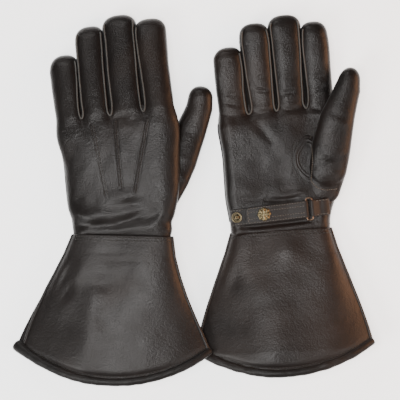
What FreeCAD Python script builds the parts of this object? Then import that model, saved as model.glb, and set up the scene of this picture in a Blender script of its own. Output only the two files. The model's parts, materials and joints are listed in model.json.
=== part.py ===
import FreeCAD, Part
import math
import os
import Sketcher

# A pair of riding gauntlets lying side by side on a flat surface, in millimetres.
# X runs across the pair, Y from the cuffs to the fingertips, Z up.
# The left glove lies palm down, the right glove palm up, and the left cuff's corner
# rests over the right cuff's corner.
# Inside a glove: u runs across the hand towards the thumb, v along the fingers,
# w towards the palm, all measured from the middle of the wrist seam.

Vector = FreeCAD.Vector
Placement = FreeCAD.Placement
Rotation = FreeCAD.Rotation
X_AXIS = Vector(1, 0, 0)
Y_AXIS = Vector(0, 1, 0)
Z_AXIS = Vector(0, 0, 1)

doc = FreeCAD.newDocument("riding_gloves")
sheet = doc.addObject("Spreadsheet::Sheet", "dims")

DIMENSIONS = {
    # leather
    "wall": 1.4, "cuff_wall": 2.0, "gap": 0.3,
    # hand
    "hand_thick": 20.0, "hand_round": 8.0,
    "wrist_half": 50.0, "heel_side_u": 52.0, "thumb_side_u": 60.0, "thumb_side_v": 40.0,
    "pinky_edge_u": -52.0, "ring_edge_u": -24.0, "middle_edge_u": 4.5,
    "index_edge_u": 35.0, "hand_edge_u": 65.0,
    "outer_knuckle_v": 118.0, "inner_knuckle_v": 122.5,
    # fingers, from the knuckle plane to the tip
    "finger_thick": 18.6, "finger_round": 8.0, "tip_taper": 2.0, "tip_corner": 11.0,
    "base_overrun": 5.0, "strip_half": 4.0, "seam_shift": 0.0,
    "index_reach": 89.0, "middle_reach": 97.0, "ring_reach": 94.0, "pinky_reach": 69.0,
    # thumb pod and its quirk
    "thumb_reach": 115.0, "thumb_half": 17.5, "thumb_tip_half": 12.2,
    "thumb_thick": 18.0, "thumb_round": 7.6, "thumb_corner": 11.5,
    "thumb_heel_u": 44.5, "thumb_heel_v": 42.0,
    "thumb_hole_u": -3.0, "thumb_hole_v": 27.0, "thumb_hole_long": 17.0, "thumb_hole_half": 7.5,
    "quirk_u": 27.5, "quirk_v": 68.0, "quirk_long": 21.0, "quirk_half": 8.0,
    # cuff
    "flare_left": 47.0, "flare_right": 36.4, "hem_radius": 168.0,
    "cuff_reach_left": 148.0, "cuff_reach_right": 144.0,
    "hem_width": 7.0, "hem_stand": 1.6, "welt_half": 1.2, "welt_stand": 2.2,
    # wrist strap and its metal
    "strap_v": 18.5, "strap_width": 17.0, "strap_thick": 1.6,
    "strap_start_u": -49.5, "flap_start_u": -34.5, "flap_lift": 5.8,
    "ring_u": 26.6, "ring_span": 6.0, "ring_high": 22.0, "ring_wire": 0.8, "ring_corner": 2.0,
    "ring_lift": 4.7, "loop_round": 2.7, "loop_bore": 1.15, "tab_end_u": 50.0,
    "snap_u": -16.0, "spare_stud_u": -44.0,
    "cap_radius": 7.0, "cap_high": 2.4, "socket_radius": 5.0, "socket_high": 2.3,
    "stud_flange": 5.4, "stud_flange_high": 0.8, "stud_post": 2.3, "stud_post_high": 2.5,
}
for row, (alias, number) in enumerate(DIMENSIONS.items(), start=1):
    sheet.set(f"A{row}", alias)
    sheet.set(f"B{row}", str(number))
    sheet.setAlias(f"B{row}", alias)
doc.recompute()


def size(alias):
    """Value of one named dimension."""
    return float(sheet.get(alias))


# Pose of each glove: wrist centre, turn of the hand and cuff about Z, roll about the
# glove's own length, finger bend, thumb lean, rise and sideways shift of the hem from
# the wrist, and how far the curled fingers reach compared with straight ones.
POSES = {
    "left": {"palm": -1, "wrist": Vector(-71.8, -36.6, 24.9), "hand_turn": 6.5,
             "cuff_turn": -1.3, "hand_roll": -5.0, "cuff_roll": -5.0, "bend": 8.5,
             "thumb_lean": 25.0, "hem_rise": -1.4, "hem_shift": -6.0, "reach": 1.0},
    "right": {"palm": 1, "wrist": Vector(86.7, -31.6, 10.0), "hand_turn": 5.0,
              "cuff_turn": 3.3, "hand_roll": 0.0, "cuff_roll": -3.7, "bend": 4.5,
              "thumb_lean": 23.5, "hem_rise": 12.5, "hem_shift": -3.0, "reach": 0.955},
}
# Each finger: its two edges on the knuckle line, knuckle plane, sideways lean in degrees,
# and which of its sides carry a side strip.
FINGERS = {
    "index": ("index_edge_u", "hand_edge_u", "inner_knuckle_v", 1.8, (-1,)),
    "middle": ("middle_edge_u", "index_edge_u", "inner_knuckle_v", 0.5, (-1, 1)),
    "ring": ("ring_edge_u", "middle_edge_u", "outer_knuckle_v", 0.3, (-1, 1)),
    "pinky": ("pinky_edge_u", "ring_edge_u", "outer_knuckle_v", 0.0, (1,)),
}
BIG = 60.0
finished = []


def keep(obj, label):
    """Mark an object as a finished sub-part."""
    obj.Label = label
    finished.append(obj)
    return obj


def turned(axis, degrees):
    return Placement(Vector(0, 0, 0), Rotation(axis, degrees))


def shifted(u, v, w):
    return Placement(Vector(u, v, w), Rotation())


def hand_place(pose):
    """Glove frame of the hand; w is flipped by the caller for a palm-down glove."""
    return (Placement(pose["wrist"], Rotation()) * turned(Z_AXIS, pose["hand_turn"])
            * turned(Y_AXIS, pose["hand_roll"]))


def cuff_place(pose):
    return (Placement(pose["wrist"], Rotation()) * turned(Z_AXIS, pose["cuff_turn"])
            * turned(Y_AXIS, pose["cuff_roll"]))


def box(name, place, low, high):
    """Box between two corners of a local frame."""
    solid = doc.addObject("Part::Box", name)
    solid.Length, solid.Width, solid.Height = high[0] - low[0], high[1] - low[1], high[2] - low[2]
    solid.Placement = place * shifted(*low)
    return solid


def slab(name, place, low_u, high_u, low_v, high_v, w_one, w_two):
    return box(name, place, (low_u, low_v, min(w_one, w_two)), (high_u, high_v, max(w_one, w_two)))


def cut(name, base, *tools):
    result = base
    for number, tool in enumerate(tools):
        step = doc.addObject("Part::Cut", f"{name}_{number}")
        step.Base, step.Tool = result, tool
        result = step
    return result


def common(name, base, tool):
    result = doc.addObject("Part::Common", name)
    result.Base, result.Tool = base, tool
    return result


def ellipse(name, place, long_radius, short_radius):
    """Ellipse whose radii are expressions on the sheet."""
    curve = doc.addObject("Part::Ellipse", name)
    curve.setExpression("MajorRadius", long_radius)
    curve.setExpression("MinorRadius", short_radius)
    curve.Placement = place
    return curve


def loft(name, sections):
    solid = doc.addObject("Part::Loft", name)
    solid.Sections = sections
    solid.Solid = True
    solid.Ruled = True
    return solid


def upright(place):
    """Turn a flat section so that it stands across v."""
    return place * turned(X_AXIS, 90)


def column(name, place, low_w, high_w, long_radius, short_radius):
    """Short elliptical column standing along w, its long axis along v."""
    sections = []
    for number, w in enumerate((low_w, high_w)):
        spot = place * shifted(0, 0, w) * turned(Z_AXIS, 90)
        sections.append(ellipse(f"{name}_s{number}", spot, long_radius, short_radius))
    return loft(name, sections)


def cylinder(name, place, radius, height):
    solid = doc.addObject("Part::Cylinder", name)
    solid.setExpression("Radius", radius)
    solid.setExpression("Height", height)
    solid.Placement = place
    return solid


def polygon_body(name, place, points, thickness):
    """Body padded both ways from a closed outline; points hold pairs of expressions."""
    body = doc.addObject("PartDesign::Body", name)
    sketch = body.newObject("Sketcher::SketchObject", f"{name}_outline")
    plane = [part for part in body.Origin.OriginFeatures if part.Role == "XY_Plane"][0]
    sketch.AttachmentSupport = [(plane, "")]
    sketch.MapMode = "FlatFace"
    corners = [Vector(float(sketch.evalExpression(u)), float(sketch.evalExpression(v)), 0)
               for u, v in points]
    count = len(corners)
    for number in range(count):
        sketch.addGeometry(Part.LineSegment(corners[number], corners[(number + 1) % count]), False)
    for number in range(count):
        sketch.addConstraint(Sketcher.Constraint("Coincident", number, 2, (number + 1) % count, 1))
    for number, (u, v) in enumerate(points):
        for kind, key, text, value in (("DistanceX", "u", u, corners[number].x),
                                       ("DistanceY", "v", v, corners[number].y)):
            index = sketch.addConstraint(Sketcher.Constraint(kind, -1, 1, number, 1, value))
            sketch.renameConstraint(index, f"{key}{number}")
            sketch.setExpression(f"Constraints.{key}{number}", text)
    pad = body.newObject("PartDesign::Pad", f"{name}_pad")
    pad.Profile = sketch
    pad.SideType = "Symmetric"
    pad.setExpression("Length", thickness)
    body.Placement = place
    doc.recompute()
    return body, pad


def round_edges(body, pad, radius, wanted):
    """Round the pad's edges that the test accepts."""
    names = [f"Edge{number}" for number, edge in enumerate(pad.Shape.Edges, start=1)
             if wanted(edge.Vertexes[0].Point, edge.Vertexes[-1].Point)]
    fillet = body.newObject("PartDesign::Fillet", f"{body.Name}_round")
    fillet.Base = (pad, names)
    fillet.setExpression("Radius", radius)
    doc.recompute()
    return body


def hand_outline(pose, inset, overrun):
    """Hand outline from the wrist round the knuckle steps, with the open ends run over."""
    skew = pose["cuff_turn"] - pose["hand_turn"]
    cos, sin = math.cos(math.radians(skew)), math.sin(math.radians(skew))
    half = f"(dims.wrist_half - {inset})"
    step = f"dims.middle_edge_u + {inset}"
    outer, inner = f"dims.outer_knuckle_v + {overrun}", f"dims.inner_knuckle_v + {overrun}"
    return [
        (f"-{half} * {cos:.5f} + {overrun * sin:.4f}", f"-{half} * {sin:.5f} - {overrun}"),
        (f"{half} * {cos:.5f} + {overrun * sin:.4f}", f"{half} * {sin:.5f} - {overrun}"),
        (f"dims.thumb_side_u - {inset}", "dims.thumb_side_v"),
        (f"dims.hand_edge_u - {inset}", inner),
        (step, inner),
        (step, outer),
        (f"dims.pinky_edge_u + {inset}", outer),
        (f"-(dims.heel_side_u - {inset})", "dims.thumb_side_v"),
    ]


def hand_solid(name, pose, inset, overrun, thickness, rounding):
    """Filleted slab of the hand; only its two long sides are rounded."""
    body, pad = polygon_body(name, hand_place(pose), hand_outline(pose, inset, overrun), thickness)
    side = size("wrist_half") - 12

    def along_side(one, two):
        flat = abs(one.z - two.z) < 0.01
        return flat and min(abs(one.x), abs(two.x)) > side - 5 and abs(one.y - two.y) > 12

    return round_edges(body, pad, rounding, along_side)


def build_hand(side, pose):
    """Back panel, palm panel with its thumb hole, and the quirk let into the palm."""
    place, palm = hand_place(pose), pose["palm"]
    outer = hand_solid(f"{side}_hand_outer", pose, 0, 0, "dims.hand_thick", "dims.hand_round")
    inner = hand_solid(f"{side}_hand_inner", pose, size("wall"), 3,
                       "dims.hand_thick - 2 * dims.wall", "dims.hand_round - dims.wall")
    shell = cut(f"{side}_hand_shell", outer, inner)
    back_half = slab(f"{side}_back_half", place, -90, 90, -30, 150, 0, -palm * BIG)
    palm_half = slab(f"{side}_palm_half", place, -90, 90, -30, 150, 0, palm * BIG)
    keep(common(f"{side}_hand_back", shell, back_half), f"{side}_hand_back")

    top, under = palm * (size("hand_thick") / 2 + 2), palm * (size("hand_thick") / 2 - 4)
    hole = column(f"{side}_thumb_hole", thumb_hole_place(pose), under, top,
                  "dims.thumb_hole_long", "dims.thumb_hole_half")
    quirk_spot = place * shifted(size("quirk_u"), size("quirk_v"), 0) * turned(Z_AXIS, -6)
    window = column(f"{side}_quirk_window", quirk_spot, under, top,
                    "dims.quirk_long", "dims.quirk_half")
    panel = common(f"{side}_palm_skin", shell, palm_half)
    keep(cut(f"{side}_palm_cut", panel, hole, window), f"{side}_hand_palm")
    keep(common(f"{side}_quirk", panel, window), f"{side}_thumb_gusset")


def thumb_place(pose):
    """Frame of the thumb: its origin at the heel, v along the thumb."""
    return (hand_place(pose) * shifted(size("thumb_heel_u"), size("thumb_heel_v"), 0)
            * turned(Z_AXIS, -pose["thumb_lean"]))


def thumb_hole_place(pose):
    return thumb_place(pose) * shifted(size("thumb_hole_u"), size("thumb_hole_v"), 0)


def pod(name, place, outline, thickness, corner, rounding, start):
    """Pad with rounded plan corners and softly rounded rims, open-ended below start."""
    body, pad = polygon_body(name, place, outline, thickness)

    def upright_corner(one, two):
        return abs(one.x - two.x) < 0.01 and abs(one.y - two.y) < 0.01 and one.y > start

    def rim(one, two):
        return abs(one.z - two.z) < 0.01 and max(one.y, two.y) > start

    round_edges(body, pad, corner, upright_corner)
    return round_edges(body, body.Tip, rounding, rim)


def thumb_pod(name, pose, inset):
    """Closed thumb pod lying a gap above the palm, larger at the heel than the tip."""
    height = pose["palm"] * (size("hand_thick") / 2 + size("gap") + size("thumb_thick") / 2)
    heel, tip = f"(dims.thumb_half - {inset})", f"(dims.thumb_tip_half - {inset})"
    far = f"dims.thumb_reach - {inset}"
    outline = [(f"-{heel}", f"{inset}"), (heel, f"{inset}"), (tip, far), (f"-{tip}", far)]
    return pod(name, thumb_place(pose) * shifted(0, 0, height), outline,
               f"dims.thumb_thick - 2 * {inset}", f"dims.thumb_corner - {inset}",
               f"dims.thumb_round - {inset}", -1)


def build_thumb(side, pose):
    """Outer and inner thumb panels: a pod with a hole in its floor over the palm's hole."""
    place, palm, wall = thumb_place(pose), pose["palm"], size("wall")
    outer = thumb_pod(f"{side}_thumb_pod", pose, 0)
    inner = thumb_pod(f"{side}_thumb_space", pose, wall)
    floor = size("hand_thick") / 2
    hole = column(f"{side}_thumb_floor", thumb_hole_place(pose), palm * (floor - 1),
                  palm * (floor + 6), "dims.thumb_hole_long", "dims.thumb_hole_half")
    shell = cut(f"{side}_thumb_shell", outer, inner, hole)
    middle = palm * (floor + size("gap") + size("thumb_thick") / 2)
    above = slab(f"{side}_thumb_above", place, -40, 40, -10, 140, middle, palm * BIG)
    below = slab(f"{side}_thumb_below", place, -40, 40, -10, 140, middle, 0)
    keep(common(f"{side}_thumb_top", shell, above), f"{side}_thumb_outer")
    keep(common(f"{side}_thumb_bottom", shell, below), f"{side}_thumb_inner")


def finger_pod(name, place, low, high, reach, inset):
    """Tapering finger with a rounded tip; its base runs back past the knuckle plane."""
    base = f"((dims.{high} - dims.{low}) / 2 - dims.gap - {inset})"
    tip = f"((dims.{high} - dims.{low}) / 2 - dims.tip_taper - {inset})"
    start, end = "-dims.base_overrun", f"{reach} - {inset}"
    outline = [(f"-{base}", start), (base, start), (tip, end), (f"-{tip}", end)]
    return pod(name, place, outline, f"dims.finger_thick - 2 * {inset}",
               f"dims.tip_corner - {inset}", f"dims.finger_round - {inset}", 1)


def build_finger(side, pose, name):
    """Back panel, palm panel and the side strips of one finger."""
    low, high, knuckle, lean, strips = FINGERS[name]
    palm, wall = pose["palm"], size("wall")
    centre = (size(low) + size(high)) / 2
    place = hand_place(pose) * shifted(centre, size(knuckle), 0)
    tilted = place * turned(Z_AXIS, -lean) * turned(X_AXIS, palm * pose["bend"])
    reach = f"dims.{name}_reach * {pose['reach']}"
    key = f"{side}_{name}"
    outer = finger_pod(f"{key}_outside", tilted, low, high, reach, 0)
    inner = finger_pod(f"{key}_inside", tilted, low, high, reach, wall)
    behind = slab(f"{key}_behind", place, -BIG, BIG, -BIG, size("gap"), -BIG, BIG)
    shell = cut(f"{key}_shell", outer, inner, behind)

    half, length = size("strip_half"), size(f"{name}_reach") * pose["reach"]
    left = -BIG if -1 in strips else 0
    right = BIG if 1 in strips else 0
    band = slab(f"{key}_band", tilted, left, right, -10, length * 0.9, -half, half)
    edge = -palm * size("seam_shift")
    back_half = slab(f"{key}_back_half", tilted, -BIG, BIG, -10, 120, edge, -palm * BIG)
    palm_half = slab(f"{key}_palm_half", tilted, -BIG, BIG, -10, 120, edge, palm * BIG)
    keep(common(f"{key}_strips", shell, band), f"{key}_fourchettes")
    back = common(f"{key}_back_skin", shell, back_half)
    front = common(f"{key}_palm_skin", shell, palm_half)
    keep(cut(f"{key}_back_cut", back, band), f"{key}_back")
    keep(cut(f"{key}_palm_cut", front, band), f"{key}_palm")


def lens(name, place, half_wide, half_high):
    """Closed outline of two shallow arcs that meet at sharp side edges."""
    sketch = doc.addObject("Sketcher::SketchObject", name)
    wide = float(sketch.evalExpression(half_wide))
    tall = float(sketch.evalExpression(half_high))
    left, right = Vector(-wide, 0, 0), Vector(wide, 0, 0)
    sketch.addGeometry(Part.Arc(right, Vector(0, tall, 0), left), False)
    sketch.addGeometry(Part.Arc(left, Vector(0, -tall, 0), right), False)
    sketch.addConstraint(Sketcher.Constraint("Coincident", 0, 2, 1, 1))
    sketch.addConstraint(Sketcher.Constraint("Coincident", 0, 1, 1, 2))
    sketch.addConstraint(Sketcher.Constraint("PointOnObject", 0, 1, -1))
    sketch.addConstraint(Sketcher.Constraint("Symmetric", 0, 1, 0, 2, -2))
    span = sketch.addConstraint(Sketcher.Constraint("DistanceX", 0, 2, 0, 1, 2 * wide))
    sketch.renameConstraint(span, "span")
    sketch.setExpression("Constraints.span", f"2 * ({half_wide})")
    radius = f"(({half_wide})^2 + ({half_high})^2) / (2 * ({half_high}))"
    for arc in (0, 1):
        index = sketch.addConstraint(
            Sketcher.Constraint("Radius", arc, float(sketch.evalExpression(radius))))
        sketch.renameConstraint(index, f"arc{arc}")
        sketch.setExpression(f"Constraints.arc{arc}", radius)
    sketch.Placement = upright(place)
    return sketch


def cuff_loft(name, side, pose, grow):
    """Flared lens-shaped cuff, larger or smaller all round by grow."""
    place = cuff_place(pose)
    # Distance out from the wrist seam, share of the flare, half height.
    shape = [(0.3, 0.0, 9.7), (40, 0.30, 13.0), (80, 0.68, 16.5), (120, 1.08, 19.5),
             (156, 1.42, 20.5)]
    sections = []
    for number, (out, share, high) in enumerate(shape):
        share_out = min(1.0, out / 120)
        extra = 3 if number == 0 and grow < 0 else 0
        spot = place * shifted(pose["hem_shift"] * share_out, extra - out,
                               pose["hem_rise"] * share_out)
        sections.append(lens(f"{name}_s{number}", spot,
                             f"dims.wrist_half + dims.flare_{side} * {share} + {2 * grow}",
                             f"{high} + {grow}"))
    return loft(name, sections)


def hem_disc(name, side, pose, extra):
    """Upright cylinder whose wall is the curved line of the hem."""
    centre = size("hem_radius") - size(f"cuff_reach_{side}")
    place = cuff_place(pose) * shifted(pose["hem_shift"], centre, -150)
    return cylinder(name, place, f"dims.hem_radius + {extra}", "dims.hem_radius * 2")


def build_cuff(side, pose):
    """Back and palm panels, the two side welts and the bound hem."""
    place, palm = cuff_place(pose), pose["palm"]
    wall, stand = size("cuff_wall"), size("hem_stand")
    outer = cuff_loft(f"{side}_cuff_outer", side, pose, 0)
    inner = cuff_loft(f"{side}_cuff_inner", side, pose, -wall)
    outline = hem_disc(f"{side}_cuff_line", side, pose, 0)
    shell = common(f"{side}_cuff_shell", cut(f"{side}_cuff_hollow", outer, inner), outline)
    rest, far = size("hem_width"), 220
    panels = common(f"{side}_cuff_panels", shell,
                    hem_disc(f"{side}_panel_line", side, pose, -rest))

    ridge = pose["hem_rise"] / 120
    tilt = place * turned(X_AXIS, -math.degrees(math.atan(ridge)))
    half = size("welt_half")
    upper = slab(f"{side}_cuff_upper", tilt, -far, far, -far, 20, half, 90)
    lower = slab(f"{side}_cuff_lower", tilt, -far, far, -far, 20, -half, -90)
    seam = slab(f"{side}_cuff_seam", tilt, -far, far, -far, 20, -half, half)
    back, front = (upper, lower) if palm < 0 else (lower, upper)
    keep(common(f"{side}_cuff_back_panel", panels, back), f"{side}_cuff_back")
    keep(common(f"{side}_cuff_palm_panel", panels, front), f"{side}_cuff_palm")

    proud = cuff_loft(f"{side}_welt_outer", side, pose, size("welt_stand") / 2)
    strip = cut(f"{side}_welt_hollow", proud, inner)
    strip = common(f"{side}_welt_line", strip,
                   hem_disc(f"{side}_welt_end", side, pose, -rest))
    keep(common(f"{side}_welts", strip, seam), f"{side}_cuff_welts")

    fat = cuff_loft(f"{side}_hem_outer", side, pose, stand)
    thin = cuff_loft(f"{side}_hem_inner", side, pose, -wall - stand)
    band = cut(f"{side}_hem_hollow", fat, thin)
    band = common(f"{side}_hem_trim", band, hem_disc(f"{side}_hem_end", side, pose, 0))
    keep(cut(f"{side}_hem_band", band, hem_disc(f"{side}_hem_start", side, pose, -rest)),
         f"{side}_cuff_hem")


def strap_place(pose):
    return hand_place(pose) * shifted(0, size("strap_v"), 0)


def lifted(pose, height):
    """Height above the palm's surface, signed for the way the palm faces."""
    return pose["palm"] * (size("hand_thick") / 2 + height)


def strap_plate(name, pose, start, end, low, high, rounding):
    """Flat strap piece with rounded corners at its start."""
    place = strap_place(pose) * shifted(0, 0, lifted(pose, (low + high) / 2))
    half = "dims.strap_width / 2"
    points = [(start, f"-{half}"), (end, f"-{half}"), (end, half), (start, half)]
    body, pad = polygon_body(name, place, points, f"{high - low}")
    corner = pad.Shape.BoundBox.XMin

    def at_start(one, two):
        return abs(one.x - two.x) < 0.01 and abs(one.y - two.y) < 0.01 and one.x < corner + 0.01

    if rounding:
        round_edges(body, pad, rounding, at_start)
    return body


def across(pose, u, height):
    """Frame of a bar that lies across the strap, starting at the strap's lower edge."""
    spot = strap_place(pose) * shifted(u, -size("strap_width") / 2, lifted(pose, height))
    return spot * turned(X_AXIS, -90)


def bar_loop(name, pose, u, plate):
    """Plate whose end wraps round a bar of the ring."""
    lift = size("ring_lift")
    roll = cylinder(f"{name}_roll", across(pose, u, lift), "dims.loop_round", "dims.strap_width")
    bore = cylinder(f"{name}_bore", across(pose, u, lift), "dims.loop_bore", "dims.strap_width")
    joined = doc.addObject("Part::Fuse", f"{name}_joined")
    joined.Base, joined.Tool = plate, roll
    return cut(f"{name}_bored", joined, bore)


def ring_path(name, pose):
    """Rounded rectangle that the ring's wire follows, in the ring's own plane."""
    sketch = doc.addObject("Sketcher::SketchObject", name)
    wide, tall, bend = size("ring_span"), size("ring_high"), size("ring_corner")
    centres = [Vector(wide - bend, bend - tall / 2, 0), Vector(wide - bend, tall / 2 - bend, 0),
               Vector(bend, tall / 2 - bend, 0), Vector(bend, bend - tall / 2, 0)]
    for number, centre in enumerate(centres):
        start = math.radians(90 * number - 90)
        circle = Part.Circle(centre, Z_AXIS, bend)
        sketch.addGeometry(Part.ArcOfCircle(circle, start, start + math.pi / 2), False)
    for number in range(4):
        here, there = sketch.Geometry[number], sketch.Geometry[(number + 1) % 4]
        sketch.addGeometry(Part.LineSegment(here.EndPoint, there.StartPoint), False)
    for number in range(4):
        line, following = number + 4, (number + 1) % 4
        sketch.addConstraint(Sketcher.Constraint("Tangent", number, 2, line, 1))
        sketch.addConstraint(Sketcher.Constraint("Tangent", line, 2, following, 1))
        if number:
            sketch.addConstraint(Sketcher.Constraint("Equal", 0, number))
    sketch.addConstraint(Sketcher.Constraint("Horizontal", 5))
    sketch.addConstraint(Sketcher.Constraint("Vertical", 6))
    sketch.addConstraint(Sketcher.Constraint("Horizontal", 7))
    sketch.addConstraint(Sketcher.Constraint("PointOnObject", 6, 1, -2))
    sketch.addConstraint(Sketcher.Constraint("Symmetric", 4, 1, 4, 2, -1))
    drives = (("Radius", (0, bend), "bend", "dims.ring_corner"),
              ("DistanceX", (6, 1, 4, 1, wide), "span", "dims.ring_span"),
              ("DistanceY", (7, 1, 5, 1, tall), "tall", "dims.ring_high"))
    for kind, terms, key, text in drives:
        index = sketch.addConstraint(Sketcher.Constraint(kind, *terms))
        sketch.renameConstraint(index, key)
        sketch.setExpression(f"Constraints.{key}", text)
    height = lifted(pose, size("ring_lift"))
    sketch.Placement = strap_place(pose) * shifted(size("ring_u"), 0, height)
    return sketch


def build_ring(side, pose):
    """Wire ring that the strap doubles back through."""
    path = ring_path(f"{side}_ring_path", pose)
    wire = doc.addObject("Part::Circle", f"{side}_ring_section")
    wire.setExpression("Radius", "dims.ring_wire")
    wire.Placement = upright(path.Placement)
    doc.recompute()
    ring = doc.addObject("Part::Sweep", f"{side}_ring_wire")
    ring.Sections = [wire]
    ring.Spine = (path, [f"Edge{number}" for number in range(1, len(path.Shape.Edges) + 1)])
    ring.Solid = True
    ring.Frenet = False
    keep(ring, f"{side}_strap_ring")


def stand(pose, u, height):
    """Frame standing on the strap line, its axis pointing away from the palm."""
    spot = strap_place(pose) * shifted(u, 0, lifted(pose, height))
    return spot if pose["palm"] > 0 else spot * turned(X_AXIS, 180)


def build_strap(side, pose):
    """Base strap, doubled-back flap, ring tab, and the snap's cap, socket and studs."""
    thick, lift = size("strap_thick"), size("flap_lift")
    ring_u, far_bar = size("ring_u"), size("ring_u") + size("ring_span")
    keep(strap_plate(f"{side}_base_strap", pose, "dims.strap_start_u", "dims.ring_u - 0.5",
                     0, thick, None), f"{side}_wrist_strap")
    flap = strap_plate(f"{side}_flap_plate", pose, "dims.flap_start_u", "dims.ring_u",
                       lift, lift + thick, "dims.strap_width / 4")
    keep(bar_loop(f"{side}_flap", pose, ring_u, flap), f"{side}_strap_flap")
    tab = strap_plate(f"{side}_tab_plate", pose, "dims.ring_u + dims.ring_span + 1.8",
                      "dims.tab_end_u", 0, 2 * thick, None)
    keep(bar_loop(f"{side}_tab", pose, far_bar, tab), f"{side}_ring_tab")

    snap_u = size("snap_u")
    dome = doc.addObject("Part::Cone", f"{side}_cap_rim")
    dome.setExpression("Radius1", "dims.cap_radius")
    dome.setExpression("Radius2", "dims.cap_radius * 0.72")
    dome.setExpression("Height", "dims.cap_high")
    dome.Placement = stand(pose, snap_u, lift + thick)
    keep(dome, f"{side}_snap_cap")
    low = lift - size("socket_high")
    body = cylinder(f"{side}_socket_body", stand(pose, snap_u, low),
                    "dims.socket_radius", "dims.socket_high")
    bore = cylinder(f"{side}_socket_bore", stand(pose, snap_u, low),
                    "dims.stud_post + dims.gap + 0.2", "dims.socket_high")
    keep(cut(f"{side}_socket", body, bore), f"{side}_snap_socket")

    studs = []
    for number, u in enumerate((snap_u, size("spare_stud_u"))):
        flange = cylinder(f"{side}_stud_flange{number}", stand(pose, u, thick),
                          "dims.stud_flange", "dims.stud_flange_high")
        post = cylinder(f"{side}_stud_post{number}",
                        stand(pose, u, thick + size("stud_flange_high")),
                        "dims.stud_post", "dims.stud_post_high")
        stud = doc.addObject("Part::Fuse", f"{side}_stud{number}")
        stud.Base, stud.Tool = flange, post
        studs.append(stud)
    group = doc.addObject("Part::Compound", f"{side}_stud_group")
    group.Links = studs
    keep(group, f"{side}_snap_studs")


def build_glove(side):
    pose = POSES[side]
    build_hand(side, pose)
    build_thumb(side, pose)
    for name in FINGERS:
        build_finger(side, pose, name)
    build_cuff(side, pose)
    build_strap(side, pose)
    build_ring(side, pose)


for side in POSES:
    build_glove(side)
doc.recompute()

for obj in doc.Objects:
    if "Invalid" in obj.State or "Error" in obj.State:
        raise RuntimeError(f"{obj.Name} did not compute: {obj.State}")
for obj in finished:
    if obj.Shape.isNull() or not obj.Shape.isValid() or not obj.Shape.Solids:
        raise RuntimeError(f"{obj.Label} has no valid solid")

os.makedirs("parts", exist_ok=True)
for obj in finished:
    obj.Shape.exportStep(f"parts/{obj.Label}.step")
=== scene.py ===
import json
import math

import bpy
import numpy as np
from mathutils import Matrix, Vector
from mathutils.bvhtree import BVHTree


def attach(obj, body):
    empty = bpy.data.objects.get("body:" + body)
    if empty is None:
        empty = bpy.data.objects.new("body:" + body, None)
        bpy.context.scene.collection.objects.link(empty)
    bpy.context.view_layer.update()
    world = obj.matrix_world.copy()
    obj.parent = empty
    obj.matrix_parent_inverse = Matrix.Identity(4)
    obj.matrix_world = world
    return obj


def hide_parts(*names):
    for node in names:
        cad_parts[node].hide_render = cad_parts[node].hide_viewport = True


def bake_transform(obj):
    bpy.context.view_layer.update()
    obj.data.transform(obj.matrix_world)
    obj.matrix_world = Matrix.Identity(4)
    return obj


# A pair of leather riding gauntlets on a pale floor. Shapes are worked out in millimetres in
# each glove's own frame: u across the hand towards the thumb, v along the fingers and w
# towards the palm, from the middle of the wrist seam. The cuff's frame has x across, y along
# the arm and z up.

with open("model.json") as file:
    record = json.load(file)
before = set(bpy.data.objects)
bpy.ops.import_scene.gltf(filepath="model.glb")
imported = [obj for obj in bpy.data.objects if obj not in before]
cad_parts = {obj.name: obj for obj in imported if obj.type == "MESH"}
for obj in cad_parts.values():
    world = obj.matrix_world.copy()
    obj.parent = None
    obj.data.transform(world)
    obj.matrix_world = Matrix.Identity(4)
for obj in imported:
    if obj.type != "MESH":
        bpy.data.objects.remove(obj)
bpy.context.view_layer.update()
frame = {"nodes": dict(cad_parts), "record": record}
MM = 0.001
FLOOR_GAP = 0.15       # lowest height of any piece
GRID_STEP = 1.0        # spacing of the samples of the skin's fields

HAND_HALF = 10.0       # half the hand's thickness
PALM_ROUND = 10.5      # how far in from the side the palm rounds off
BACK_ROUND = 24.0      # and the back of the hand
HAND_POWER = 2.2       # how square that rounding is
KNUCKLE = 118.0        # where the fingers start
SPLIT = 127.0          # where each finger's skin parts from the hand's
TIP_ROUND = 12.5       # length of a rounded fingertip
THUMB_POWER = 2.2
SKIN_WALL = 1.2        # leather of the hand
WALL = 1.8             # leather of the cuff
HEM_RADIUS = 168.0     # curve of the cuff's mouth
HEM_INSET = 3.0        # from the hem back to the middle of its binding

STRAP_V = 18.5         # the strap's middle line
STRAP_TILT = 0.035     # how fast that line climbs towards the thumb
STRAP_THICK = 1.6
TAB_THICK = 2.0
SNAP_U = -16.0
SPARE_STUD_U = -43.3
RING_U = 26.6          # the strap's side of the wire ring
RING_SPAN = 6.0
RING_TALL = 22.0
RING_CORNER = 2.0
RING_LIFT = 4.7        # height of the ring above the palm
BEND_RADIUS = 1.9      # bends of the strap and the tab round the ring
QUIRK_CENTRE = (33.5, 69.0)
QUIRK_HALF = 16.0
QUIRK_LONG = 24.0

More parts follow.
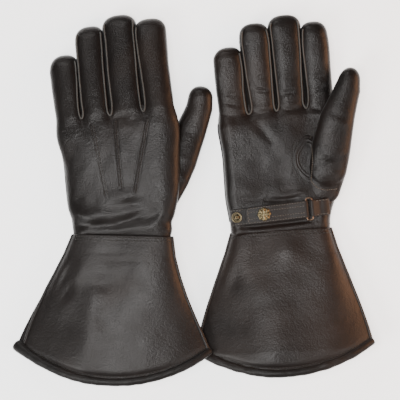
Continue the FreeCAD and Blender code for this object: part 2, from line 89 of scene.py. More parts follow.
# Outlines are u, v. Fingers: v knots, centre u, half width; the last knot is the tip.
# Thumb: u and v of the centre line and half widths.
GLOVES = {
    "left": {
        "palm": -1, "wrist": (-71.8, -36.6, 24.9), "hand_turn": 6.5, "hand_roll": -5.0,
        "cuff_turn": -1.3, "cuff_roll": -5.0, "bend": 8.5, "flare": 47.0, "reach": 148.0, "curl": 6.0,
        "hem_rise": -1.4, "hem_shift": -6.0, "wrist_half": 50.5, "belly": 2.0, "bow": -3.4,
        "outline": [(-49.2, 8), (-48.4, 20), (-51.0, 34), (-51.3, 60), (-50.2, 90), (-52, 106),
                    (-50.5, 115), (-45, 120), (-26, 121), (0, 122), (34, 124), (57, 123), (64, 117),
                    (67, 106), (66.5, 80), (63.5, 50), (60.0, 33), (54.0, 15), (50.4, 8), (49.9, 0),
                    (47.0, -9), (45.0, -24), (-45.0, -24), (-46.5, -10), (-49.3, -1)],
        "fingers": {
            "pinky": ((118, 135, 155, 171, 186.5), (-39.5, -41, -41, -40.7, -39), (13, 12.8, 13.8, 14.4, 13)),
            "ring": ((118, 133, 164, 196, 213), (-13, -13.3, -13.6, -13.8, -12), (13.4, 13.2, 12.9, 14, 13)),
            "middle": ((118, 136, 160, 193, 209, 220.5), (17.6, 17.6, 17.4, 18, 17.9, 18.2),
                       (14, 13.6, 13.8, 14, 15, 14)),
            "index": ((118, 132, 167, 202, 213.5), (52.2, 52.6, 50.9, 50.2, 50.6),
                      (13, 12.8, 13.2, 14.8, 13.5)),
        },
        "thumb": ((43, 47, 56, 64.5, 77.5, 89, 94.5), (30, 37, 52, 68, 95, 118, 140),
                  (14, 15.5, 17, 17.2, 15.8, 13.6, 11.5)),
    },
    "right": {
        "palm": 1, "wrist": (86.7, -31.6, 10.0), "hand_turn": 5.0, "hand_roll": 0.0,
        "cuff_turn": 3.3, "cuff_roll": -3.7, "bend": 4.5, "flare": 36.4, "reach": 144.0, "curl": 0.0,
        "hem_rise": 12.5, "hem_shift": -3.0, "wrist_half": 50.5, "belly": 5.5, "bow": -0.5,
        "outline": [(-50.5, 4), (-50.5, 14), (-51.5, 24), (-52.3, 36), (-52.2, 57), (-51.5, 99),
                    (-51.5, 110), (-46, 118), (-20, 119), (6, 121), (34, 122), (54, 121.5), (61, 115),
                    (62.5, 105), (61.5, 80), (62.0, 54), (61.5, 40), (58.5, 30), (53.5, 18), (50.6, 8),
                    (49.9, 0), (47.0, -9), (45.0, -24), (-45.0, -24), (-47.0, -10), (-49.9, -2)],
        "fingers": {
            "pinky": ((118, 126, 144, 177, 188), (-36.8, -37.2, -38.8, -39, -37.8),
                      (14.6, 14.4, 13.8, 13.6, 12.5)),
            "ring": ((118, 129, 165, 192, 209.5), (-8, -8, -8.8, -10.4, -9), (12.8, 12.6, 12.6, 14.2, 13)),
            "middle": ((118, 129, 164, 189, 203, 215.5), (20.2, 20.4, 20.8, 21.0, 20.4, 21),
                       (13, 13, 13.2, 13.8, 15.4, 14)),
            "index": ((118, 137, 162, 187, 206.5), (50, 51.2, 50.6, 50.4, 49.6), (13, 12.6, 12.8, 13, 12)),
        },
        "thumb": ((44.5, 46.5, 52, 57, 65, 77.5, 84.5), (30.5, 38.5, 58, 80, 106, 134, 156),
                  (15.5, 17.0, 18.8, 19.4, 17.6, 13.4, 8.5)),
    },
}
FINGERS = ("index", "middle", "ring", "pinky")
ACROSS = FINGERS[::-1]

# Folds pressed into the skin, shared by both gloves: points in u, v, then depth and width.
BACK_FOLDS = [
    ([(-50, 19), (-38, 15), (-24, 12.5), (-6, 12), (8, 14.5), (20, 18), (32, 19)], 2.2, 5.2),
    ([(14, 10), (28, 14), (40, 21), (46, 30)], 0.9, 5.0),
    ([(-3, 24), (3, 28.5), (12, 30.5), (24, 29), (34, 24)], 1.2, 5.2),
    ([(-40, 30), (-24, 25), (-10, 26)], 0.5, 6.0),
    ([(-8, 120), (6, 117), (24, 117)], 1.1, 4.2),
    ([(-32, 112), (-20, 113)], 0.5, 6.0),
    ([(36, 122), (48, 118)], 0.7, 5.0),
    ([(-46, 46), (-30, 38)], 0.8, 6.0),
    ([(-50, 84), (-38, 78)], 0.8, 6.0),
    ([(-10, 100), (-6, 60)], 0.5, 8.0),
    ([(28, 104), (24, 62)], 0.6, 8.0),
]
PALM_FOLDS = [
    ([(-17, 116), (-12, 104), (-2, 90), (2, 80)], 0.8, 4.5),
    ([(-44, 119), (-36, 116), (-26, 117)], 0.5, 4.0),
    ([(-20, 121), (-10, 118), (2, 121)], 0.7, 2.4),
    ([(8, 122), (20, 119.5), (32, 122)], 0.7, 2.4),
    ([(38, 120), (50, 117), (61, 120)], 0.7, 2.4),
    ([(-46, 98), (-28, 93)], 0.5, 5.0),
    ([(4, 62), (10, 44)], 0.5, 5.0),
    ([(-46, 36), (-20, 33), (10, 34)], 0.7, 4.5),
    ([(-46, 7.5), (-20, 7), (10, 8), (36, 9.5)], 3.6, 3.2),
    ([(-12, 29.5), (6, 30), (22, 31)], 2.0, 2.6),
]
# Swells on the left glove's back: height, u, v, half spread across and along.
BACK_SWELLS = [(1.4, 10, 76, 26, 34), (1.5, 6, 38, 15, 9), (1.2, -26, 24, 20, 8)]
# Stitch lines in u, v: round the thumb's base, beside the quirk, and the back's three points.
THUMB_BASE = [(37.5, 92), (37.2, 68), (35.0, 54), (33.8, 47), (38.7, 40.3), (46.4, 36.6), (59.4, 36.8)]
QUIRK_SIDE = [(23.5, 91), (19.0, 81), (17.4, 69), (18.6, 58), (22.5, 47.5)]
POINTS = [[(-17, 113), (-10.4, 40)], [(5.7, 115), (4.5, 49)], [(38.7, 113), (18, 42)]]

# Dents and swells pressed into the left cuff: across, out, half spread of each, height.
CUFF_DENTS = [
    (-0.80, 45, 0.07, 13, -1.8), (-0.66, 58, 0.08, 10, -2.2), (-0.60, 40, 0.12, 13, 1.1),
    (-0.38, 47, 0.20, 8, -1.1), (-0.16, 49, 0.16, 8, -1.2), (-0.10, 35, 0.20, 8, 0.8),
    (-0.10, 17, 0.32, 3.2, -0.55), (0.15, 24, 0.32, 3.2, -0.55), (-0.27, 76, 0.10, 26, 1.0),
    (-0.25, 108, 0.13, 22, 0.8), (0.10, 100, 0.18, 34, -0.6), (0.50, 96, 0.16, 36, -0.5),
    (-0.62, 104, 0.20, 28, -0.5),
]


# ---------------------------------------------------------------- frames and small helpers

def rotation(axis, degrees):
    return Matrix.Rotation(math.radians(degrees), 4, axis)


def hand_matrix(glove):
    """Glove frame to row frame, millimetres; a palm-down glove is the mirror of a palm-up one."""
    flip = Matrix.Diagonal((1, 1, glove["palm"], 1))
    return (Matrix.Translation(glove["wrist"]) @ rotation("Z", glove["hand_turn"])
            @ rotation("Y", glove["hand_roll"]) @ flip)


def cuff_matrix(glove):
    return (Matrix.Translation(glove["wrist"]) @ rotation("Z", glove["cuff_turn"])
            @ rotation("Y", glove["cuff_roll"]))


def moved(points, matrix):
    m = np.array(matrix)
    return np.asarray(points, float) @ m[:3, :3].T + m[:3, 3]


def unit(vectors):
    return vectors / np.maximum(np.linalg.norm(vectors, axis=1, keepdims=True), 1e-9)


def mound(x, y, middle_x, middle_y, wide, tall):
    """Smooth mound of height 1."""
    return np.exp(-((x - middle_x) / wide) ** 2 - ((y - middle_y) / tall) ** 2)


def steps_along(path):
    """Distance from a path's start to each of its points."""
    return np.concatenate([[0], np.cumsum(np.linalg.norm(np.diff(path, axis=0), axis=1))])


def resampled(path, pitch):
    """The same path with its points about a pitch apart."""
    path = np.asarray(path, float)
    steps = steps_along(path)
    count = max(2, int(steps[-1] / pitch))
    at = np.linspace(0, steps[-1], count)
    return np.stack([np.interp(at, steps, path[:, n]) for n in range(3)], 1)


def eased(path, rounds):
    """Path smoothed between its ends, which stay."""
    for _ in range(rounds):
        path[1:-1] = 0.5 * path[1:-1] + 0.25 * (path[:-2] + path[2:])
    return path


def tube_faces(rings, sides, start=0):
    """Quads between rings of points that are numbered one ring after another."""
    faces = []
    for ring in range(rings - 1):
        near = start + ring * sides
        far = near + sides
        for n in range(sides):
            o = (n + 1) % sides
            faces.append((near + n, near + o, far + o, far + n))
    return faces


def end_faces(rings, sides, start=0):
    """Faces over the first and last ring."""
    last = start + (rings - 1) * sides
    return [tuple(reversed(range(start, start + sides))), tuple(range(last, last + sides))]


def make_mesh(name, points, faces, material, flip=False):
    """Smooth mesh object from points in millimetres in the row frame, kept just off the floor."""
    points = np.array(points, float)
    points[:, 2] = np.maximum(points[:, 2], FLOOR_GAP)
    mesh = bpy.data.meshes.new(name)
    faces = [list(map(int, face)) for face in faces]
    order = [face[::-1] for face in faces] if flip else faces
    mesh.from_pydata((points * MM).tolist(), [], order)
    mesh.polygons.foreach_set("use_smooth", [True] * len(mesh.polygons))
    mesh.update()
    obj = bpy.data.objects.new(name, mesh)
    bpy.context.scene.collection.objects.link(obj)
    mesh.materials.append(material)
    return obj


def hand_mesh(name, points, faces, material, glove):
    """Mesh from points in a glove's own frame; the mirrored glove has its faces turned over."""
    return make_mesh(name, moved(points, hand_matrix(glove)), faces, material, flip=glove["palm"] < 0)


def waves(points, seed, scale, count=7):
    """Smooth seeded noise, about -1 to 1, from a few plane waves of one wavelength."""
    rng = np.random.default_rng(seed)
    total = np.zeros(len(points))
    for _ in range(count):
        direction = rng.normal(size=3)
        direction /= np.linalg.norm(direction)
        length = scale * rng.uniform(0.7, 1.5)
        total += np.sin(points @ direction * (2 * math.pi / length) + rng.uniform(0, 6.28))
    return total / math.sqrt(count)


def distance_to_line(u, v, line):
    """Distance from plan points to a polyline."""
    best = np.full(u.shape, 1e9)
    for (u0, v0), (u1, v1) in zip(line[:-1], line[1:]):
        du, dv = u1 - u0, v1 - v0
        share = np.clip(((u - u0) * du + (v - v0) * dv) / (du * du + dv * dv), 0, 1)
        best = np.minimum(best, np.hypot(u - u0 - share * du, v - v0 - share * dv))
    return best


def rounded(points, steps=6):
    """Closed outline through the points, smoothed between them."""
    pts = np.array(points, float)
    before, after, later = np.roll(pts, 1, 0), np.roll(pts, -1, 0), np.roll(pts, -2, 0)
    out = []
    for step in range(steps):
        s = step / steps
        out.append(0.5 * (2 * pts + (after - before) * s
                          + (2 * before - 5 * pts + 4 * after - later) * s ** 2
                          + (3 * pts - before - 3 * after + later) * s ** 3))
    return np.stack(out, 1).reshape(-1, 2)


def outline_distance(u, v, outline):
    """Signed distance to a closed outline, negative inside."""
    closed = list(map(tuple, outline)) + [tuple(outline[0])]
    distance = distance_to_line(u, v, closed)
    inside = np.zeros(u.shape, bool)
    for (u0, v0), (u1, v1) in zip(closed[:-1], closed[1:]):
        crosses = (v0 > v) != (v1 > v)
        at = u0 + (v - v0) * (u1 - u0) / (v1 - v0 + 1e-12)
        inside ^= crosses & (u < at)
    return np.where(inside, -distance, distance)


def smooth_min(a, b, k):
    h = np.clip(0.5 + 0.5 * (b - a) / k, 0, 1)
    return b * (1 - h) + a * h - k * h * (1 - h)


# ---------------------------------------------------------------- implicit skin of the hand

def surface_nets(field, origin, step):
    """Quads of the zero surface, with the grid cell of each vertex."""
    inside = field < 0
    shape = tuple(n - 1 for n in field.shape)
    total, count = np.zeros(shape + (3,)), np.zeros(shape)
    quads = []
    crossings = []
    for axis in range(3):
        low = [slice(None)] * 3
        high = [slice(None)] * 3
        low[axis], high[axis] = slice(None, -1), slice(1, None)
        cross = inside[tuple(low)] != inside[tuple(high)]
        edge = np.argwhere(cross)
        others = [a for a in range(3) if a != axis]
        keep = np.all([(edge[:, a] >= 1) & (edge[:, a] <= field.shape[a] - 2) for a in others], 0)
        edge = edge[keep]
        far = edge.copy()
        far[:, axis] += 1
        f0, f1 = field[tuple(edge.T)], field[tuple(far.T)]
        spot = edge.astype(float)
        spot[:, axis] += f0 / (f0 - f1)
        corners = []
        for da, db in ((-1, -1), (0, -1), (0, 0), (-1, 0)):
            cell = edge.copy()
            cell[:, others[0]] += da
            cell[:, others[1]] += db
            np.add.at(total, tuple(cell.T), spot)
            np.add.at(count, tuple(cell.T), 1)
            corners.append(cell)
        crossings.append((corners, f0 < 0, axis))
    index = np.full(shape, -1)
    used = np.argwhere(count > 0)
    index[tuple(used.T)] = np.arange(len(used))
    points = total[tuple(used.T)] / count[tuple(used.T)][:, None] * step + np.array(origin)
    for corners, outward, axis in crossings:
        ids = np.stack([index[tuple(cell.T)] for cell in corners], 1)
        turn = outward if axis != 1 else ~outward
        ids[~turn] = ids[~turn][:, ::-1]
        quads.append(ids)
    return points, np.concatenate(quads), used


def finger_span(glove, name, v):
    """Centre and half width of a finger, which meets its neighbours with a small overrun."""
    def sides(which):
        knots, centres, halves = glove["fingers"][which]
        centre, half = np.interp(v, knots, centres), np.interp(v, knots, halves) + 0.5
        return centre - half, centre + half
    overrun = 0.7
    place = ACROSS.index(name)
    low, high = sides(name)
    if place > 0:
        low = (low + sides(ACROSS[place - 1])[1]) / 2 - overrun
    if place < 3:
        high = (high + sides(ACROSS[place + 1])[0]) / 2 + overrun
    return (low + high) / 2, (high - low) / 2


def finger_curl(glove, name, v):
    """Height of a finger's middle line, which curls a little towards the palm."""
    length = glove["fingers"][name][0][-1] - KNUCKLE
    along = np.clip(v - KNUCKLE, 0, None)
    return math.tan(math.radians(glove["bend"])) * length * (along / length) ** 1.3


def finger_field(glove, name, u, v, w):
    """Roughly signed distance to one finger, which fades out inside the hand."""
    tip = glove["fingers"][name][0][-1]
    centre, half = finger_span(glove, name, v)
    thick = np.interp(v, (96, KNUCKLE + 6, tip - 20, tip), (5.5, 9.6, 8.9, 8.4))
    over = np.clip(v - (tip - TIP_ROUND), 0, None) / TIP_ROUND
    under = np.clip(108 - v, 0, None) / 20
    reach = ((np.abs(u - centre) / half) ** 2.6
             + (np.abs(w - finger_curl(glove, name, v)) / thick) ** 2.2 + over ** 2.3 + under ** 2)
    return (reach ** (1 / 2.5) - 1) * thick


def past_seam(glove, u, v):
    """Distance up the hand from the wrist seam, which lies square to the cuff."""
    skew = math.radians(glove["cuff_turn"] - glove["hand_turn"])
    return -u * math.sin(skew) + v * math.cos(skew)


def hand_field(glove, u, v, w):
    """Flat slab with round sides, run on past the wrist so that the cuff laps over it."""
    flat_u, flat_v = u[:, :, 0], v[:, :, 0]
    flat = outline_distance(flat_u, flat_v, rounded(glove["outline"]))
    flat = np.maximum(flat, -past_seam(glove, flat_u, flat_v) - 9)[:, :, None]
    round_side = np.where(w < 0, BACK_ROUND, PALM_ROUND)
    inward = np.clip(flat + round_side, 0, None) / round_side
    reach = inward ** HAND_POWER + (np.abs(w) / HAND_HALF) ** HAND_POWER
    return (reach ** (1 / HAND_POWER) - 1) * PALM_ROUND


def grid(low, high):
    """Coordinates of the samples between two corners."""
    axes = [np.arange(a, b + GRID_STEP, GRID_STEP) for a, b in zip(low, high)]
    return np.meshgrid(*axes, indexing="ij")


def skin(glove):
    """Points, quads and cells of the hand piece and of each finger piece."""
    low, high = (-62, -14, -16), (80, 226, 34)
    u, v, w = grid(low, high)
    slab = hand_field(glove, u, v, w)
    fingers = {name: finger_field(glove, name, u, v, w) for name in FINGERS}
    union = np.minimum.reduce(list(fingers.values()))
    split = int(round((SPLIT - low[1]) / GRID_STEP))
    fillet = 5
    pieces = {}
    points, quads, cells = surface_nets(smooth_min(slab, union, fillet), low, GRID_STEP)
    rows = cells[:, 1][quads]
    pieces["hand"] = (points, quads[(rows.max(1) <= split) & (rows.min(1) > 1)], cells)
    for name, field in fingers.items():
        points, quads, cells = surface_nets(smooth_min(slab, field, fillet), low, GRID_STEP)
        rows = cells[:, 1][quads]
        pieces[name] = (points, quads[rows.min(1) >= split], cells)
    return pieces, split


def compact(points, faces):
    used = np.unique(faces)
    lookup = np.full(len(points), -1)
    lookup[used] = np.arange(len(used))
    return points[used], lookup[faces]


def joined(pieces, split):
    """All pieces as one mesh, sharing the points of the row where fingers meet the hand."""
    points, faces, owner, keys = [], [], [], []
    start = 0
    for number, (name, (pts, quads, cells)) in enumerate(pieces.items()):
        used = np.unique(quads)
        spots, quads = compact(pts, quads)
        cell = cells[used]
        piece = np.where(cell[:, 1] == split, 0, number)
        keys.append(np.column_stack([cell, piece]))
        points.append(spots)
        faces.append(quads + start)
        owner += [name] * len(quads)
        start += len(spots)
    points, faces, keys = np.concatenate(points), np.concatenate(faces), np.concatenate(keys)
    _, first, inverse = np.unique(keys, axis=0, return_index=True, return_inverse=True)
    return points[first], inverse.reshape(-1)[faces], np.array(owner)


def vertex_normals(points, faces):
    a, b, c, d = (points[faces[:, n]] for n in range(4))
    face = np.cross(c - a, d - b)
    total = np.zeros_like(points)
    for n in range(4):
        np.add.at(total, faces[:, n], face)
    return unit(total)


def relaxed(points, faces, rounds):
    """Points eased towards the mean of their neighbours; open edges stay."""
    edges = np.concatenate([faces[:, [n, (n + 1) % 4]] for n in range(4)])
    both = np.concatenate([edges, edges[:, ::-1]])
    degree = np.bincount(both[:, 0], minlength=len(points)).astype(float)
    one_way = np.sort(edges, 1)
    _, inverse, uses = np.unique(one_way, axis=0, return_inverse=True, return_counts=True)
    loose = np.zeros(len(points), bool)
    loose[edges[uses[inverse.reshape(-1)] == 1].reshape(-1)] = True
    for _ in range(rounds):
        total = np.zeros_like(points)
        np.add.at(total, both[:, 0], points[both[:, 1]])
        mean = total / np.maximum(degree, 1)[:, None]
        points = np.where(loose[:, None], points, points + (mean - points) * 0.5)
    return points


def crease(u, v, line, depth, width):
    """Valley along a line with soft lips beside it."""
    distance = distance_to_line(u, v, line)
    first, last = line[0], line[-1]
    ends = np.minimum(np.hypot(u - first[0], v - first[1]), np.hypot(u - last[0], v - last[1]))
    depth = depth * (1 - 0.9 * np.exp(-(ends / (2.2 * width)) ** 2))
    valley = np.exp(-(distance / width) ** 2)
    lips = np.exp(-((distance - 1.9 * width) / (1.1 * width)) ** 2)
    return depth * (0.22 * lips - valley)


def finger_creases(glove):
    """Soft cross folds where each finger bends."""
    folds = []
    for number, name in enumerate(FINGERS):
        knots, centres, _ = glove["fingers"][name]
        tip = knots[-1]
        for share, depth, reach in ((0.22, 0.55, 9), (0.36, 0.35, 7)):
            v = KNUCKLE + (tip - KNUCKLE) * (share + 0.04 * math.sin(4.0 * number))
            u = np.interp(v, knots, centres) + 2 * math.sin(3 * number + 9 * share)
            tilt = 2.5 * math.sin(5.1 * number + 7.3 * share)
            folds.append(([(u - reach, v - tilt), (u, v + 0.6 * tilt), (u + reach, v + tilt)], depth, 2.2))
    return folds


def relief(glove, points, normals):
    """Height to add along the normal: folds, raised points, slack leather, the tuck at the wrist."""
    u, v = points[:, 0], points[:, 1]
    facing = normals[:, 2]
    back = np.clip(-facing, 0, 1) ** 0.7
    palm = np.clip(facing, 0, 1) ** 0.7
    height = np.zeros(len(points))
    clear = 1 - 0.9 * np.exp(-((v - STRAP_V) / 13) ** 4)
    for line, depth, width in BACK_FOLDS:
        height += back * crease(u, v, line, depth, width)
    for line, depth, width in PALM_FOLDS + finger_creases(glove):
        height += palm * crease(u, v, line, depth, width)
    for line, depth, width in finger_creases(glove):
        height += back * 0.15 * crease(u, v, line, depth, width)
    for line, share in zip(POINTS, (0.35, 1.0, 1.0)):
        away = distance_to_line(u, v, line)
        ridge, groove = np.exp(-away ** 2), np.exp(-((away - 2.0) / 0.75) ** 2)
        height += back * share * (0.5 * ridge - 0.4 * groove)
    seed = 3 if glove["palm"] > 0 else 8
    slack = waves(points * np.array((1.0, 0.7, 1.0)), seed, 52) * 0.85
    slack += waves(points, seed + 1, 21) * 0.15
    # The right glove's back lies flat on the floor.
    if glove["palm"] > 0:
        slack = slack * (1 - back) - 0.6 * back
        height = np.where(back > 0.3, np.minimum(height, 0), height)
    height = height + slack * np.clip(np.abs(facing) + 0.25, 0, 1)
    along = past_seam(glove, u, v)
    if glove["palm"] < 0:
        for rise, *place in BACK_SWELLS:
            height += back * rise * mound(u, v, *place)
    height = np.where(facing > 0, height * clear, height) * np.clip((along + 2) / 10, 0, 1)
    return height - 1.5 * np.clip((-0.5 - along) / 4, 0, 1)


# ---------------------------------------------------------------- materials

def node(tree, kind, **settings):
    made = tree.nodes.new(kind)
    for key, value in settings.items():
        if key in made.inputs:
            made.inputs[key].default_value = value
        else:
            setattr(made, key, value)
    return made


def new_material(name):
    """Material with its node tree, its shader and a node that gives object coordinates."""
    material = bpy.data.materials.new(name)
    material.use_nodes = True
    tree = material.node_tree
    return material, tree, tree.nodes["Principled BSDF"], node(tree, "ShaderNodeTexCoord")


def texture(tree, place, kind, **settings):
    """Texture node in object coordinates."""
    made = node(tree, kind, **settings)
    tree.links.new(place.outputs["Object"], made.inputs["Vector"])
    return made


def mixed(tree, share, first, second):
    """Mix of two colours, each a plain colour or another node's output."""
    mix = node(tree, "ShaderNodeMix", data_type="RGBA")
    for socket, colour in ((6, first), (7, second)):
        if isinstance(colour, tuple):
            mix.inputs[socket].default_value = (*colour, 1)
        else:
            tree.links.new(colour, mix.inputs[socket])
    tree.links.new(share, mix.inputs[0])
    return mix.outputs[2]


def ranged(tree, value, limits):
    made = node(tree, "ShaderNodeMapRange", **limits)
    tree.links.new(value, made.inputs["Value"])
    return made.outputs["Result"]


def bumped(tree, height, under=None, **settings):
    """Normal of a bump, laid over another bump's normal if there is one."""
    bump = node(tree, "ShaderNodeBump", **settings)
    tree.links.new(height, bump.inputs["Height"])
    if under:
        tree.links.new(under, bump.inputs["Normal"])
    return bump.outputs["Normal"]


def leather(name, dark, light, warm=(0.05, 0.027, 0.017), grain=1.0, rough=0.46, crumple=0.22, polish=0.5):
    """Drum-dyed leather: pebble grain, fine creases, mottled dye and warm patches of painted reflection."""
    material, tree, shader, place = new_material(name)
    link = tree.links.new
    mottle = texture(tree, place, "ShaderNodeTexNoise", Scale=38.0, Detail=4.0, Roughness=0.6)
    dye = mixed(tree, mottle.outputs["Fac"], dark, light)
    # Warm patches in the base colour: painted warm reflection.
    patches = texture(tree, place, "ShaderNodeTexNoise", Scale=9.0, Detail=2.0)
    painted_warm_reflection = ranged(tree, patches.outputs["Fac"], {"From Min": 0.52, "From Max": 0.75, "To Max": 0.22})
    link(mixed(tree, painted_warm_reflection, dye, warm), shader.inputs["Base Color"])

    pebble = texture(tree, place, "ShaderNodeTexVoronoi", feature="SMOOTH_F1", Scale=820.0 * grain)
    fine = texture(tree, place, "ShaderNodeTexNoise", Scale=2300.0 * grain, Detail=3.0)
    folds = texture(tree, place, "ShaderNodeTexNoise", Scale=170.0, Detail=5.0, Roughness=0.66,
                    Distortion=0.15)
    grained = node(tree, "ShaderNodeMath", operation="MULTIPLY_ADD")
    grained.inputs[1].default_value = 0.45
    link(fine.outputs["Fac"], grained.inputs[0])
    link(pebble.outputs["Distance"], grained.inputs[2])
    small = bumped(tree, grained.outputs[0], Strength=0.32, Distance=0.0005)
    large = bumped(tree, folds.outputs["Fac"], small, Strength=crumple, Distance=0.0014)
    link(large, shader.inputs["Normal"])
    gloss = ranged(tree, mottle.outputs["Fac"], {"To Min": rough - 0.08, "To Max": rough + 0.14})
    link(gloss, shader.inputs["Roughness"])
    shader.inputs["Specular IOR Level"].default_value = polish
    shader.inputs["Sheen Weight"].default_value = 0.06
    return material


def metal(name, bright, dark, rough):
    """Antiqued metal: bright rubbed parts, dark tarnish in the low parts, fine scratches."""
    material, tree, shader, place = new_material(name)
    link = tree.links.new
    stain = texture(tree, place, "ShaderNodeTexNoise", Scale=420.0, Detail=4.0, Roughness=0.65)
    hollow = node(tree, "ShaderNodeNewGeometry")
    high_spots = ranged(tree, hollow.outputs["Pointiness"], {"From Min": 0.44, "From Max": 0.56})
    both = node(tree, "ShaderNodeMath", operation="MULTIPLY")
    link(high_spots, both.inputs[0])
    link(stain.outputs["Fac"], both.inputs[1])
    lift = node(tree, "ShaderNodeMath", operation="MULTIPLY_ADD", use_clamp=True)
    lift.inputs[1].default_value = 1.5
    lift.inputs[2].default_value = 0.12
    link(both.outputs[0], lift.inputs[0])
    link(mixed(tree, lift.outputs[0], dark, bright), shader.inputs["Base Color"])
    link(bumped(tree, stain.outputs["Fac"], Strength=0.2, Distance=0.0002), shader.inputs["Normal"])
    shader.inputs["Metallic"].default_value = 1.0
    shader.inputs["Roughness"].default_value = rough
    return material


def thread(name, dark, light):
    """Twisted thread: fine slanted bands."""
    material, tree, shader, place = new_material(name)
    twist = texture(tree, place, "ShaderNodeTexWave", Scale=900.0, Distortion=1.5).outputs["Fac"]
    tree.links.new(mixed(tree, twist, dark, light), shader.inputs["Base Color"])
    tree.links.new(bumped(tree, twist, Strength=0.4, Distance=0.0002), shader.inputs["Normal"])
    shader.inputs["Roughness"].default_value = 0.6
    return material


HAND_LEATHER = leather("glove_leather", (0.0040, 0.0029, 0.0026), (0.0084, 0.0062, 0.0055),
                       rough=0.33, crumple=0.24, polish=0.25)
# Darker copy of the cuff leather for the hem binding and the side seam: painted shade.
SHADED_HEM_LEATHER = leather("hem_leather_painted_shade", (0.0030, 0.0024, 0.0022), (0.0058, 0.0046, 0.0042),
                      rough=0.40, polish=0.24)
CUFF_LEATHER = leather("cuff_leather", (0.0060, 0.0045, 0.0041), (0.0120, 0.0092, 0.0084),
                       grain=0.75, rough=0.38, crumple=0.20, polish=0.29)
STRIP_LEATHER = leather("strip_leather", (0.0045, 0.0036, 0.0033), (0.008, 0.0066, 0.006))
STRAP_LEATHER = leather("strap_leather", (0.0050, 0.0038, 0.0034), (0.0105, 0.0080, 0.0072),
                        grain=1.3, polish=0.3)
EDGE_THREAD = thread("edge_thread", (0.06, 0.05, 0.04), (0.17, 0.14, 0.11))
STRAP_THREAD = thread("strap_thread", (0.036, 0.033, 0.029), (0.13, 0.118, 0.104))
RAW_EDGE = leather("raw_edge", (0.028, 0.027, 0.025), (0.085, 0.082, 0.076),
                   warm=(0.05, 0.046, 0.040), grain=2.0, rough=0.7)
THREAD = thread("thread", (0.004, 0.0034, 0.003), (0.034, 0.031, 0.028))
BRASS = metal("antique_brass", (0.27, 0.22, 0.125), (0.016, 0.012, 0.007), 0.42)
COPPER = metal("antique_wire", (0.20, 0.135, 0.095), (0.035, 0.025, 0.020), 0.38)
STEEL = metal("snap_metal", (0.17, 0.14, 0.085), (0.022, 0.018, 0.012), 0.42)


# ---------------------------------------------------------------- hand, fingers and thumb

def lined(points, quads, normals):
    """Panel with an inner face and cut edges, from the outer face of a skin."""
    count = len(points)
    edges = np.concatenate([quads[:, [n, (n + 1) % 4]] for n in range(4)])
    edges = edges[edges[:, 0] != edges[:, 1]]
    cut = edges[~np.isin(edges[:, 0] * count + edges[:, 1], edges[:, 1] * count + edges[:, 0])]
    rim = np.stack([cut[:, 1], cut[:, 0], cut[:, 0] + count, cut[:, 1] + count], 1)
    return (np.concatenate([points, points - normals * SKIN_WALL]),
            np.concatenate([quads, quads[:, ::-1] + count, rim]))


def piece_of(name, points, faces, normals, wanted, material, glove):
    """One panel from the chosen faces of the joined skin, keeping the whole skin's normals."""
    used = np.unique(faces[wanted])
    pts, quads = compact(points, faces[wanted])
    pts, quads = lined(pts, quads, normals[used])
    obj = hand_mesh(name, pts, quads, material, glove)
    smooth = unit(normals[used] @ np.linalg.inv(np.array(hand_matrix(glove))[:3, :3]))
    obj.data.normals_split_custom_set_from_vertices(np.concatenate([smooth, -smooth]).tolist())
    return obj


def finger_zone(glove, name, centres_of_faces):
    """Back, palm or side strip, from where a face sits round its finger."""
    knots, centres, _ = glove["fingers"][name]
    u, v, w = centres_of_faces.T
    curl = finger_curl(glove, name, v)
    strips = {"index": (-1,), "middle": (-1, 1), "ring": (-1, 1), "pinky": (1,)}[name]
    flank = (np.abs(w - curl) < 4.2) & (v < knots[-1] - 7)
    flank &= np.isin(np.sign(u - np.interp(v, knots, centres)), strips)
    return np.where(flank, "fourchettes", np.where(w < curl, "back", "palm"))


def build_skin(side, glove):
    """Hand panels and finger panels as one unbroken skin cut along its seams."""
    points, faces, owner = joined(*skin(glove))
    points = relaxed(points, faces, 4)
    normals = vertex_normals(points, faces)
    points = points + normals * relief(glove, points, normals)[:, None]
    normals = vertex_normals(points, faces)
    middle = points[faces].mean(1)
    hand = owner == "hand"
    for name, chosen in (("hand_back", hand & (middle[:, 2] < 0)), ("hand_palm", hand & (middle[:, 2] >= 0))):
        obj = piece_of(f"{side}_{name}_skin", points, faces, normals, chosen, HAND_LEATHER, glove)
        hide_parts(f"{side}_{name}")
        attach(obj, f"{side}_hand")
    for name in FINGERS:
        mine = owner == name
        zone = np.full(len(faces), "", dtype=object)
        zone[mine] = finger_zone(glove, name, middle[mine])
        for part in ("back", "palm", "fourchettes"):
            material = STRIP_LEATHER if part == "fourchettes" else HAND_LEATHER
            obj = piece_of(f"{side}_{name}_{part}_skin", points, faces, normals, zone == part, material,
                           glove)
            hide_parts(f"{side}_{name}_{part}")
            blend_finger(obj)
    return points, faces, owner


def blend_finger(obj):
    """Bakes the piece's placement into its mesh."""
    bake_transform(obj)


def thumb_line(glove):
    """Thumb centre line in the glove frame: u, v, height, half width and distance from its start."""
    us, vs, halves = (np.array(row, float) for row in glove["thumb"])
    steps = np.concatenate([[0], np.cumsum(np.hypot(np.diff(us), np.diff(vs)))])
    rise = np.interp(steps, (0, 8, 36, 80, steps[-1]), (1.2, 4.6, 10.4, 16.2, 16.0))
    return us, vs, rise, halves, steps


